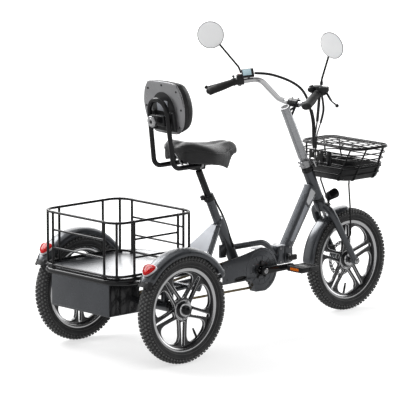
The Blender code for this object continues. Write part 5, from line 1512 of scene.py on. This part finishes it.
def fork_parts(mats):
    p = Piece(mats)
    top, low = steer_point(0.466), steer_point(0.428)
    p.knob(top, low, ((0, 0.0215), (0.08, 0.0238), (0.85, 0.0240), (1, 0.021)), "gunmetal", 48)
    p.tube([steer_point(0.643), steer_point(0.450)], 0.0166, "steel", 32)
    for _, side in SIDES:
        leg = [(1.022, 0.006, 0.444), (1.030, 0.046, 0.424), (1.048, 0.053, 0.390), (WHEELBASE, 0.053, 0.206)]
        path = rounded_path(sided(leg, side), 0.03, 10)
        radii = [1.15] * (len(path) - 1) + [0.85]
        p.tube(path, 0.0135, "gunmetal", 32, radii=radii)
        foot = Vector((WHEELBASE, 0.053 * side, AXLE_Z))
        p.rod(foot - Vector((0, 0.0095 * side, 0)), foot + Vector((0, 0.0112 * side, 0)), 0.0152, "gunmetal", 36)
        p.bolt((1.1175, (0.053 + 0.0118) * side, 0.300), (0, side, 0), 0.0048, 0.0035)
    p.box((1.032, -0.006, 0.438), (1.0535, 0.006, 0.448), "gunmetal", bevel=0.0015)
    radial = Vector((-0.5264, 0, 0.8502))
    hub = Vector((WHEELBASE, 0, AXLE_Z))
    p.rod(hub + radial * 0.2222, hub + radial * 0.2700, 0.006, "steel", 20)
    p.done("fork_with_legs", "fork", "gunmetal_paint", ["fork"])

    p = Piece(mats)
    middle = steer_point(0.6275)
    down = (steer_point(0.4) - steer_point(0.5)).normalized()
    place = along(middle, middle + down)
    ring = ((0.0228, 0.0158), (0.0235, 0.0148), (0.0235, 0.0052), (0.0228, 0.0044), (0.0228, -0.0044), (0.0235, -0.0052), (0.0235, -0.0148), (0.0228, -0.0158), (0.0172, -0.0160), (0.0172, 0.0160))
    p.lathe(ring, place, "steel", 56)
    for z in (0.634, 0.620):
        at = steer_point(z) + Vector((-0.020, -0.014, -0.006))
        p.rod(at, at + Vector((0, 0.028, 0)), 0.0048, "steel", 20)
    p.done("stem_clamp_ring", "fork", "brushed_steel", ["stem_collar"])

    p = Piece(mats)
    start = middle + Vector((0.024, -0.022, 0.012))
    p.rod(start - Vector((0, 0.008, 0)), start + Vector((0, 0.008, 0)), 0.0065, "steel", 28)
    p.tube([start, start + Vector((0.006, -0.003, -0.016)), start + Vector((0.012, -0.006, -0.030))], 0.004, "chrome", 16)
    p.done("stem_quick_release", "stem_clamp", "brushed_steel", ["stem_clamp_lever"])

    p = Piece(mats)
    barrel_start, barrel_end = Vector((1.055, 0, 0.4725)), Vector((1.104, 0, 0.4855))
    shape = (
        (0, 0.0105), (0.03, 0.0135), (0.10, 0.0162), (0.14, 0.0172), (0.15, 0.0150), (0.20, 0.0150), (0.21, 0.0174),
        (0.26, 0.0175), (0.27, 0.0153), (0.32, 0.0153), (0.33, 0.0178), (0.38, 0.0179), (0.39, 0.0158), (0.44, 0.0158),
        (0.45, 0.0182), (0.62, 0.0192), (0.80, 0.0198), (0.97, 0.0200), (1.0, 0.0192), (1.0, 0.0172), (0.95, 0.0165),
    )
    p.knob(barrel_start, barrel_end, shape, "gloss", 48)
    ahead = (barrel_end - barrel_start).normalized()
    p.knob(barrel_end - ahead * 0.0034, barrel_end + ahead * 0.0012, ((0, 0.0168), (0.6, 0.0160), (0.85, 0.0110), (1, 0.0030)), "clear", 40)
    p.tube([(1.070, 0, 0.472), (1.060, 0, 0.443)], 0.0045, "gloss", 16)
    p.rod((1.060, -0.010, 0.443), (1.060, 0.010, 0.443), 0.006, "gloss", 24)
    for side in (1, -1):
        p.bolt((1.060, 0.0098 * side, 0.443), (0, side, 0), 0.0042, 0.0026)
    p.done("headlamp_barrel", "headlamp", "black_plastic", ["headlamp"])


def basket_ring(z, grow=0.0, steps=8):
    share = (z - BASKET_LOW[3]) / (BASKET_TOP[3] - BASKET_LOW[3])
    x_low, x_top, half_y = (a + (b - a) * share for a, b in zip(BASKET_LOW[:3], BASKET_TOP[:3]))
    flat = rounded_rectangle(x_low - grow, x_top + grow, half_y + grow, 0.045 + grow, steps)
    return [Vector((x, y, z)) for x, y in flat]


def basket(mats):
    p = Piece(mats)
    for z, size in ((0.6790, 0.0036), (0.6560, 0.0026), (0.6330, 0.0026), (0.6120, 0.0026)):
        p.tube(basket_ring(z, -0.0012), size, "black", 12, closed=True)
    for z, size in ((0.6000, 0.0026), (0.5760, 0.0026)):
        p.tube(basket_ring(z, 0.0030), size, "black", 12, closed=True)
    for mark in (0, 8, 9, 17, 18, 26, 27, 35):
        levels = (0.5535, 0.5560, 0.5640, 0.5850, 0.6060)
        path = [basket_ring(z, g)[mark] for z, g in zip(levels, (-0.012, 0.0, 0.0028, 0.0030, 0.0022))]
        path += [basket_ring(z, -0.0012)[mark] for z in (0.6300, 0.6600, 0.6780)]
        p.tube(smooth(path, 3), 0.0034, "black", 10)
    p.done("basket_wires", "fork", "black_paint", ["basket_wall"])

    p = Piece(mats)
    heights = (0.5535, 0.5580, 0.5700, 0.5860, 0.6020, 0.6068)
    grow = (-0.0060, -0.0010, 0.0, 0.0, 0.0, -0.0004)
    outer = [basket_ring(z, g) for z, g in zip(heights, grow)]
    inner = [basket_ring(z, g - 0.0035) for z, g in reversed(list(zip(heights[1:], grow[1:])))]
    floor = [[Vector((1.1258 + (v.x - 1.1258) * s, v.y * s, 0.5566)) for v in inner[-1]] for s in (0.90, 0.5, 0.15)]
    base = [[Vector((1.1258 + (v.x - 1.1258) * s, v.y * s, 0.5522)) for v in outer[0]] for s in (0.15, 0.6, 0.94)]
    p.rings(base + outer + inner + floor, "plastic")
    for x in (1.060, 1.082, 1.104, 1.126, 1.148, 1.170, 1.192):
        p.box((x - 0.0030, -0.100, 0.5560), (x + 0.0030, 0.100, 0.5590), "plastic", bevel=0.0012)
    for z in (0.573, 0.590):
        p.tube(basket_ring(z, 0.0004), 0.0011, "plastic", 8, closed=True)
    p.tube(basket_ring(0.6060, 0.0004), 0.0020, "plastic", 10, closed=True)
    cup = ((0.0, 0.0), (0.034, 0.0), (0.036, 0.004), (0.040, 0.070), (0.043, 0.072), (0.043, 0.076), (0.038, 0.076), (0.034, 0.010), (0.0, 0.008))
    p.lathe(cup, Matrix.Translation((1.092, -0.070, 0.5575)), "plastic", 40, closed=False)
    p.done("basket_moulded_tray", "fork", "black_plastic", ["basket_tray"])

    p = Piece(mats)
    x_low, x_top, half_y, top = BASKET_TOP
    z = top + 0.0046
    frame_ring = [(x, y, z) for x, y in rounded_rectangle(x_low + 0.002, x_top - 0.002, half_y - 0.002, 0.045, 8)]
    p.tube(frame_ring, 0.0030, "black", 12, closed=True)
    for i in range(1, 6):
        x = x_low + (x_top - x_low) * i / 6
        reach = half_y - 0.003
        arch = [(x, -reach, z), (x, -reach * 0.5, z + 0.0022), (x, 0, z + 0.0030), (x, reach * 0.5, z + 0.0022), (x, reach, z)]
        p.tube(smooth(arch, 4), 0.0019, "black", 10)
    for i in range(-2, 3):
        y = 0.058 * i
        lift = 0.0030 * (1 - (i / 2.6) ** 2)
        p.tube([(x_low + 0.003, y, z), (x_low + 0.05, y, z + lift), (x_top - 0.05, y, z + lift), (x_top - 0.003, y, z)], 0.0019, "black", 10)
    for y in (-0.070, 0.070):
        p.rod((x_low + 0.002, y - 0.009, z), (x_low + 0.002, y + 0.009, z), 0.0046, "black", 20)
    p.done("basket_wire_lid", "basket_lid", "black_paint", ["basket_lid"])

    p = Piece(mats)
    foot = [(1.1175, 0.0520, 0.3060), (1.140, 0.0500, 0.3125), (1.126, 0.0600, 0.426)]
    left = foot + [(1.097, 0.0800, 0.529), (1.100, 0.0800, 0.5487)]
    points = [Vector(v) for v in left] + [Vector((x, -y, z)) for x, y, z in reversed(left)]
    p.tube(rounded_path(points, 0.012), 0.0034, "black", 12)
    for _, side in SIDES:
        p.rod((1.1175, 0.0520 * side, 0.3060), (1.1175, 0.0690 * side, 0.3060), 0.0046, "steel", 20)
    p.done("basket_wire_stay", "fork", "black_paint", ["basket_stay"])

    p = Piece(mats)
    ring = ((0.0225, 0.0036), (0.0225, -0.0036), (0.0172, -0.0036), (0.0172, 0.0036))
    middle = steer_point(0.60585)
    down = (steer_point(0.4) - steer_point(0.5)).normalized()
    p.lathe(ring, along(middle, middle + down), "gloss", 48)
    p.box((0.952, -0.011, 0.6115), (1.0160, 0.011, 0.6165), "black", bevel=0.001)
    slots = [rounded_panel([(y - 0.008, -0.020), (y + 0.008, -0.020), (y + 0.008, 0.020), (y - 0.008, 0.020)], 0.006) for y in (-0.026, 0.026)]
    outline = rounded_panel([(-0.062, -0.029), (0.062, -0.029), (0.062, 0.029), (-0.062, 0.029)], 0.008)
    p.plate([outline] + slots, 0.0026, facing((1.0160, 0, 0.6388), (0, 1, 0), (0, 0, 1)), "black", 0.0010)
    for y in (-0.040, 0.0, 0.040):
        for z in (0.620, 0.658):
            p.bolt((1.0134, y, z), (-1, 0, 0), 0.0042, 0.0024)
    p.done("basket_plate_and_ring", "fork", "black_paint", ["basket_bracket"])


# ---------------------------------------------------------------- handlebar side


BAR = ((0.870, 0.000, 0.872), (0.870, 0.050, 0.872), (0.862, 0.082, 0.882), (0.845, 0.172, 0.953), (0.766, 0.232, 0.942))
GRIP_OUTER = (0.667, 0.2825, 0.907)


def bar_frame(side, share):
    bend, inner = sided([BAR[3], BAR[4]], side)
    way = (inner - bend).normalized()
    return facing(bend + (inner - bend) * share, way, Vector((0.60, 0.79 * side, 0)))


def handlebar(mats):
    p = Piece(mats)
    left = [Vector(v) for v in BAR]
    right = [Vector((v.x, -v.y, v.z)) for v in reversed(left[1:])]
    p.tube(rounded_path(right + left, 0.045, 12), 0.0110, "chrome", 32)
    for side in (1, -1):
        p.lathe(((0.0114, -0.001), (0.0118, 0.0), (0.0114, 0.001)), along((0.870, 0.034 * side, 0.872), (0.870, 0.044 * side, 0.872)), "steel", 32, closed=False)
    p.done("bent_handlebar", "stem", "chrome", ["handlebar"])

    p = Piece(mats)
    low, top = steer_point(0.647), steer_point(0.859)
    p.tube([low, top], 0.0185, "stem", 48)
    up = (top - low).normalized()
    lip = ((0.0186, -0.0030), (0.0190, 0.0), (0.0186, 0.0020), (0.0150, 0.0022), (0.0146, -0.0006), (0.0010, -0.0010))
    p.lathe([(r, h) for r, h in lip[:4]], along(top, top + up), "steel", 48, closed=False)
    p.knob(top - up * 0.0005, top + up * 0.0012, ((0, 0.0150), (0.5, 0.0150), (1, 0.0146)), "plastic", 48)
    for share in (0.02, 0.06):
        at = low.lerp(top, share)
        p.lathe(((0.0186, -0.0010), (0.0190, 0.0), (0.0186, 0.0010)), along(at, at + up), "steel", 48, closed=False)
    p.rod(steer_point(0.653), steer_point(0.520), 0.0120, "steel", 28)
    clamp = ((0, 0.0150), (0.03, 0.0163), (0.46, 0.0165), (0.48, 0.0155), (0.52, 0.0155), (0.54, 0.0165), (0.97, 0.0163), (1, 0.0150))
    p.knob((0.870, -0.026, 0.872), (0.870, 0.026, 0.872), clamp, "gloss", 40)
    for y in (-0.017, 0.017):
        p.bolt((0.876, y, 0.8885), (0.3, 0, 1), 0.0042, 0.0040)
    for z in (0.846, 0.822):
        x = 0.846 if z > 0.84 else 0.856
        for _, side in SIDES:
            far = Vector((0.870 + (z - 0.834) * 0.3 - 0.006, 0.018 * side, 0.862))
            p.tube([(x - 0.012, 0.010 * side, z), far], 0.0045, "gloss", 14)
    p.done("stem_tube_and_clamp", "stem", "gunmetal_paint", ["stem_post"])
    for word, side in SIDES:
        grip(mats, word, side)
    controls(mats)
    display(mats)
    brake_levers(mats)
    for word, side in SIDES:
        mirror(mats, word, side)
    cables(mats)


def grip(mats, word, side):
    """Ergonomic grip: ribbed waist, wing for the palm behind, and a locking collar."""
    inner, outer = sided([BAR[4], GRIP_OUTER], side)
    way = (outer - inner).normalized()
    start = inner + way * 0.0045
    length = (outer - start).length
    up = Vector((0, 0, 1)) - way * way.z
    up.normalize()
    back = way.cross(up) * side
    if back.x > 0:
        back = -back
    p = Piece(mats)
    rings = []
    steps = 54
    for i in range(steps + 1):
        s = i / steps
        swell = 0.0140 + 0.0022 * math.sin(math.pi * s) ** 2 + 0.0010 * s
        wing = 0.0115 * max(0.0, (s - 0.35) / 0.65) ** 1.3
        rib = 0.00035 * (1 if i % 3 == 0 else 0) if 0.05 < s < 0.62 else 0
        close = 1 - 0.20 * max(0.0, (s - 0.95) / 0.05) ** 2 - 0.10 * max(0.0, (0.03 - s) / 0.03)
        ring = []
        for k in range(32):
            a = 2 * math.pi * k / 32
            lean = max(0.0, math.cos(a)) ** 1.5
            r = (swell + rib + wing * lean) * close
            drop = up * -0.0035 * lean * s
            ring.append(start + way * length * s + back * r * math.cos(a) + up * r * math.sin(a) * (0.96 - 0.16 * s * lean) + drop)
        rings.append(ring)
    p.rings(rings, "rubber")
    p.rod(start - way * 0.001, start + way * 0.0055, 0.0158, "plastic", 40)
    p.rod(outer - way * 0.0010, outer + way * 0.0030, 0.0105, "plastic", 32)
    p.rod(outer + way * 0.0020, outer + way * 0.0055, 0.0072, "plastic", 24)
    p.rod(start - way * 0.0110, start - way * 0.0005, 0.0150, "plastic", 36)
    p.done(f"palm_grip_{word}", "stem", "grip_rubber", [f"grip_{word}"])


def controls(mats):
    """Switch block and brake mount at each side, clamped round the bar."""
    p = Piece(mats)
    place = bar_frame(1, 0.78)
    bend, inner = sided([BAR[3], BAR[4]], 1)
    way = (inner - bend).normalized()
    middle = bend + (inner - bend) * 0.78
    p.rod(middle - way * 0.0140, middle + way * 0.0140, 0.0160, "plastic", 36)
    p.box((-0.0135, -0.0155, -0.0270), (0.0135, 0.0150, 0.0100), "plastic", place, 0.005, 3)
    p.box((-0.0075, 0.0080, -0.0098), (0.0220, 0.0335, 0.0098), "plastic", place, 0.004, 3)
    for y in (-0.008, 0.0, 0.008):
        p.ball(place @ Vector((0.001 + y * 0.4, y, -0.0270)), 0.0034, "steel" if y else "red", (1, 1, 0.6), place.to_3x3().to_4x4())
    p.bolt(place @ Vector((0.010, 0.024, -0.0095)), place.to_3x3() @ Vector((0, 0, -1)), 0.0040, 0.0026)
    p.ball(Vector((0.752, 0.226, 0.9655)), 0.0056, "plastic", (1, 1, 0.8))
    p.ball(place @ Vector((0.004, -0.004, 0.0150)), 0.0078, "steel", (1, 1, 0.7), place.to_3x3().to_4x4())
    p.rod((0.757, 0.2255, 0.950), (0.752, 0.226, 0.966), 0.0028, "plastic", 14)
    p.done("left_switch_block", "stem", "black_plastic", ["control_left"])

    p = Piece(mats)
    place = bar_frame(-1, 0.78)
    bend, inner = sided([BAR[3], BAR[4]], -1)
    way = (inner - bend).normalized()
    middle = bend + (inner - bend) * 0.78
    p.rod(middle - way * 0.0150, middle + way * 0.0130, 0.0172, "plastic", 36)
    p.box((-0.0215, -0.0175, -0.0175), (0.0115, 0.0175, 0.0268), "plastic", place, 0.006, 3)
    p.box((-0.0078, 0.0080, 0.0055), (0.0198, 0.0455, 0.0258), "plastic", place, 0.005, 3)
    p.ball(place @ Vector((-0.004, -0.0165, 0.010)), 0.0062, "gloss", (1, 0.6, 1), place.to_3x3().to_4x4())
    p.ball(Vector((0.7660, -0.2080, 0.9575)), 0.0165, "gloss", (1.25, 1.0, 0.85))
    p.ball(Vector((0.8010, -0.2320, 0.9480)), 0.0160, "gloss", (1.2, 1.1, 1.0))
    p.rod((0.7560, -0.2020, 0.9660), (0.7700, -0.2100, 0.9700), 0.0060, "plastic", 20)
    p.box((-0.018, -0.0190, -0.010), (-0.006, -0.0160, 0.002), "gloss", place, 0.0012)
    p.bolt(place @ Vector((0.012, 0.038, 0.0255)), place.to_3x3() @ Vector((0, 0, 1)), 0.0042, 0.0026)
    p.done("right_switch_block", "stem", "black_plastic", ["control_right"])


def display(mats):
    p = Piece(mats)
    place = facing((0.7905, 0.1830, 0.9790), (0.79, -0.60, 0.11), (0.40, 0.42, 0.80))
    p.box((-0.024, -0.018, -0.0065), (0.024, 0.018, 0.0060), "gloss", place, 0.0035, 3)
    face_side = 1 if (place.to_3x3() @ Vector((0, 0, 1))).x < 0 else -1
    low, top = sorted((0.0056 * face_side, 0.0068 * face_side))
    p.box((-0.0205, -0.0125, low), (0.0135, 0.0145, top), "screen", place, 0.0005)
    for y in (-0.010, 0.0, 0.010):
        low, top = sorted((0.0056 * face_side, 0.0074 * face_side))
        p.box((0.0155, y - 0.0032, low), (0.0215, y + 0.0032, top), "plastic", place, 0.0006)
    p.rod(place @ Vector((0, -0.010, -0.006 * face_side)), Vector((0.812, 0.197, 0.9500)), 0.0048, "plastic", 16)
    p.done("display_with_screen", "stem", "black_plastic", ["display"])


def brake_levers(mats):
    ends = {
        "left": ((0.797, 0.249, 0.944), (0.752, 0.287, 0.934), (0.690, 0.317, 0.918)),
        "right": ((0.806, -0.247, 0.944), (0.790, -0.290, 0.918), (0.778, -0.333, 0.906)),
    }
    for word, points in ends.items():
        p = Piece(mats)
        path = rounded_path(points, 0.06, 10)
        radii = [1.25 - 0.35 * min(1.0, i / (len(path) * 0.5)) for i in range(len(path))]
        p.tube(path, 0.0042, "gloss", 20, radii=radii, flat=0.72)
        p.ball(Vector(points[2]), 0.0074, "gloss")
        p.rod(Vector(points[0]) - Vector((0, 0, 0.006)), Vector(points[0]) + Vector((0, 0, 0.006)), 0.0048, "steel", 20)
        p.done(f"lever_blade_{word}", f"brake_lever_{word}", "black_paint", [f"brake_lever_{word}"])


def mirror(mats, word, side):
    """Round mirror: domed housing, rolled rim and glass, on a bent arm with a ball joint."""
    centre = Vector((0.734, 0.340, 1.1215)) if side > 0 else Vector((0.740, -0.340, 1.1440))
    face = Vector((-0.812, -0.587, 0.022)) if side > 0 else Vector((-0.966, -0.133, -0.232))
    face.normalize()
    p = Piece(mats)
    shape = ((0, 0.012), (0.06, 0.026), (0.22, 0.040), (0.50, 0.0495), (0.80, 0.0532), (0.93, 0.0540), (1.0, 0.0534), (0.985, 0.0515), (0.93, 0.0508))
    p.knob(centre - face * 0.0130, centre, shape, "gloss", 72)
    p.knob(centre - face * 0.0016, centre + face * 0.0010, ((0, 0.0518), (0.6, 0.0516), (0.9, 0.040), (1, 0.010)), "mirror", 72)
    points = sided([(0.796, 0.228, 0.9745), (0.790, 0.236, 0.9985)], side)
    inward = points[1] - centre
    inward -= face * face.dot(inward)
    inward.normalize()
    joint = centre - face * 0.008 + inward * 0.046
    points.append(joint)
    p.tube(rounded_path(points, 0.012), 0.0040, "gloss", 16)
    p.ball(joint, 0.0074, "plastic")
    p.rod(points[0], points[0] + Vector((0, 0, 0.010)), 0.0062, "plastic", 24)
    p.nut(points[0] + Vector((0, 0, 0.008)), (0, 0, 1), 0.0068, 0.0060, "steel")
    p.done(f"round_mirror_{word}", f"mirror_{word}", "black_plastic", [f"mirror_{word}"])


def cables(mats):
    """Sleeves and single cables from both ends of the bar, and those down the frame."""
    left = [
        (0.811, 0.165, 0.9790), (0.875, 0.140, 0.9700), (0.936, 0.100, 0.9440), (0.973, 0.070, 0.9120),
        (0.990, 0.050, 0.8710), (0.988, 0.030, 0.8300), (0.987, 0.015, 0.7838), (0.981, 0.005, 0.7293), (0.979, 0.000, 0.6780),
    ]
    right = [(0.862, -0.150, 0.9200), (0.886, -0.120, 0.8611), (0.924, -0.075, 0.8021), (0.9575, -0.030, 0.7358), (0.966, -0.016, 0.6811)]
    p = Piece(mats)
    p.tube(smooth(left, 6), 0.0052, "cable", 16)
    tail = left[5:]
    p.tube(smooth([(x + 0.006, y - 0.004, z) for x, y, z in tail] + [(0.984, -0.006, 0.640)], 6), 0.0026, "cable", 12)
    p.done("cable_sleeve_left", "stem", "black_plastic", ["cable_bundle_left"])
    p = Piece(mats)
    p.tube(smooth(right[:3], 8), 0.0058, "cable", 16)
    p.tube(smooth(right[1:], 6), 0.0030, "cable", 12)
    second = [(0.838, -0.186, 0.9300), (0.872, -0.160, 0.8900), (0.905, -0.128, 0.8480), (0.930, -0.088, 0.7960), (0.953, -0.044, 0.7380), (0.970, -0.024, 0.6820)]
    p.tube(smooth(second[:4], 8), 0.0046, "cable", 14)
    p.tube(smooth(second[2:], 8), 0.0026, "cable", 12)
    p.done("cable_sleeve_right", "stem", "black_plastic", ["cable_bundle_right"])
    p = Piece(mats)
    line = [(0.433, -0.004, 0.548), (0.447, -0.006, 0.520), (0.470, -0.010, 0.480), (0.492, -0.014, 0.430), (0.506, -0.020, 0.380), (0.522, -0.026, 0.340)]
    p.tube(smooth(line, 6), 0.0040, "cable", 14)
    p.done("seat_tube_cable", "rear_frame", "black_plastic")
    p = Piece(mats)
    line = [(0.974, -0.030, 0.468), (0.970, -0.040, 0.446), (0.982, -0.038, 0.416), (0.998, -0.030, 0.385)]
    p.tube(smooth(line, 6), 0.0026, "cable", 12)
    p.done("fork_side_cable", "fork", "black_plastic")


# ---------------------------------------------------------------- studio


SOFT_BOXES = (
    ((0.66, 0.69, 0.30), 0.84, 0.96, 2.60),
    ((-0.05, 0.76, 0.65), 0.91, 0.98, 9.00),
    ((1.00, -0.15, 0.25), 0.86, 0.95, 2.20),
    ((0.00, 0.00, 1.00), 0.70, 0.95, 0.90),
    ((-0.62, 0.75, 0.15), 0.86, 0.99, 1.20),
    ((-0.90, -0.10, 0.40), 0.80, 0.97, 0.80),
    ((-0.45, -0.85, 0.20), 0.86, 0.98, 0.40),
)


def area(name, place, look_at, size, power, colour=(1, 1, 1)):
    data = bpy.data.lights.new(name, "AREA")
    data.shape = "RECTANGLE"
    data.size, data.size_y = size
    data.energy = power
    data.color = colour
    light = bpy.data.objects.new(name, data)
    bpy.context.scene.collection.objects.link(light)
    light.location = Vector(place) + SHIFT
    light.visible_glossy = False
    light.rotation_euler = (Vector(look_at) - Vector(place)).to_track_quat("-Z", "Y").to_euler()


def lobe(nodes, links, way, direction, start, end):
    """0 to 1 as the way looked in comes near a direction."""
    dot = nodes.new("ShaderNodeVectorMath")
    dot.operation = "DOT_PRODUCT"
    links.new(way, dot.inputs[0])
    dot.inputs[1].default_value = Vector(direction).normalized()
    spread = nodes.new("ShaderNodeMapRange")
    spread.interpolation_type = "SMOOTHSTEP"
    spread.inputs["From Min"].default_value = start
    spread.inputs["From Max"].default_value = end
    links.new(dot.outputs["Value"], spread.inputs["Value"])
    return spread.outputs["Result"]


def summed(nodes, links, base, parts):
    """base plus each part times its strength."""
    total = None
    for value, strength in parts:
        made = nodes.new("ShaderNodeMath")
        made.operation = "MULTIPLY_ADD"
        links.new(value, made.inputs[0])
        made.inputs[1].default_value = strength
        if total is None:
            made.inputs[2].default_value = base
        else:
            links.new(total, made.inputs[2])
        total = made.outputs["Value"]
    return total


def world():
    """White to the camera; to the object, a tent with soft boxes and dark walls between them."""
    made = bpy.data.worlds.new("studio")
    made.use_nodes = True
    nodes, links = made.node_tree.nodes, made.node_tree.links
    back = nodes["Background"]
    back.inputs["Color"].default_value = (1, 1, 1, 1)
    back.inputs["Strength"].default_value = 1.0
    way = nodes.new("ShaderNodeTexCoord").outputs["Generated"]
    parts = [(lobe(nodes, links, way, direction, start, end), strength) for direction, start, end, strength in SOFT_BOXES]
    room = nodes.new("ShaderNodeBackground")
    links.new(summed(nodes, links, 0.035, parts), room.inputs["Strength"])
    path = nodes.new("ShaderNodeLightPath")
    mix = nodes.new("ShaderNodeMixShader")
    links.new(path.outputs["Is Camera Ray"], mix.inputs["Fac"])
    links.new(room.outputs["Background"], mix.inputs[1])
    links.new(back.outputs["Background"], mix.inputs[2])
    links.new(mix.outputs["Shader"], nodes["World Output"].inputs["Surface"])
    bpy.context.scene.world = made


def floor_material():
    """Pale sweep: fades to white for the camera, bright in reflections, grey for indirect light."""
    mat = bpy.data.materials.new("pale_floor")
    mat.use_nodes = True
    nodes, links = mat.node_tree.nodes, mat.node_tree.links
    nodes.remove(nodes["Principled BSDF"])
    place = nodes.new("ShaderNodeTexCoord").outputs["Object"]
    far = nodes.new("ShaderNodeVectorMath")
    far.operation = "LENGTH"
    links.new(place, far.inputs[0])
    fade = nodes.new("ShaderNodeMapRange")
    fade.interpolation_type = "SMOOTHSTEP"
    for name, value in (("From Min", 0.9), ("From Max", 2.4), ("To Min", 0.64), ("To Max", 1.0)):
        fade.inputs[name].default_value = value
    links.new(far.outputs["Value"], fade.inputs["Value"])
    glow = nodes.new("ShaderNodeEmission")
    links.new(fade.outputs["Result"], glow.inputs["Strength"])
    matt = nodes.new("ShaderNodeBsdfDiffuse")
    matt.inputs["Color"].default_value = (0.42, 0.42, 0.42, 1)
    seen = nodes.new("ShaderNodeAddShader")
    links.new(glow.outputs[0], seen.inputs[0])
    links.new(matt.outputs[0], seen.inputs[1])
    mirrored = nodes.new("ShaderNodeEmission")
    mirrored.inputs["Strength"].default_value = 0.52
    dull = nodes.new("ShaderNodeBsdfDiffuse")
    dull.inputs["Color"].default_value = (0.30, 0.30, 0.30, 1)
    path = nodes.new("ShaderNodeLightPath")
    near = nodes.new("ShaderNodeMixShader")
    links.new(path.outputs["Is Glossy Ray"], near.inputs["Fac"])
    links.new(dull.outputs[0], near.inputs[1])
    links.new(mirrored.outputs[0], near.inputs[2])
    mix = nodes.new("ShaderNodeMixShader")
    links.new(path.outputs["Is Camera Ray"], mix.inputs["Fac"])
    links.new(near.outputs[0], mix.inputs[1])
    links.new(seen.outputs[0], mix.inputs[2])
    links.new(mix.outputs[0], nodes["Material Output"].inputs["Surface"])
    return mat


def studio():
    mesh = bpy.data.meshes.new("floor")
    mesh.from_pydata([(-30, -30, 0), (30, -30, 0), (30, 30, 0), (-30, 30, 0)], [], [(0, 1, 2, 3)])
    mesh.materials.append(floor_material())
    floor = bpy.data.objects.new("floor", mesh)
    bpy.context.scene.collection.objects.link(floor)
    floor.location = SHIFT
    world()
    area("key", (-2.2, 3.2, 4.0), (0.5, 0, 0.4), (2.0, 2.0), 120)
    area("fill", (-3.6, -3.4, 2.6), (0.4, 0, 0.5), (2.4, 2.4), 55)
    area("rim", (3.8, -1.8, 2.6), (0.6, 0, 0.5), (1.0, 2.6), 60)
    camera = bpy.data.cameras.new("camera")
    camera.lens = 310.25
    camera.sensor_width = 36
    camera.clip_end = 100
    view = bpy.data.objects.new("camera", camera)
    bpy.context.scene.collection.objects.link(view)
    view.matrix_world = Matrix((
        (0.7356, 0.1185, -0.6670, -8.8625),
        (-0.6770, 0.1287, -0.7246, -10.0713),
        (0.0, 0.9846, 0.1750, 2.9424),
        (0, 0, 0, 1),
    ))
    view.location += SHIFT
    bpy.context.scene.camera = view
    bpy.context.scene.view_settings.view_transform = "Standard"


def main():
    random.seed(7)
    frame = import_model()
    mats = make_materials()
    for build in (
        wheels, front_wheel_parts, main_frame, deck, cargo_rack, battery_box, axle_unit, chain_case, chain,
        fenders, crank_parts, seat_parts, saddle, backrest, front_frame, fork_parts, basket, handlebar,
    ):
        build(mats)
    studio()
    left = [name for name, obj in frame["nodes"].items() if not obj.hide_render]
    print("CAD nodes still shown:", left)


main()
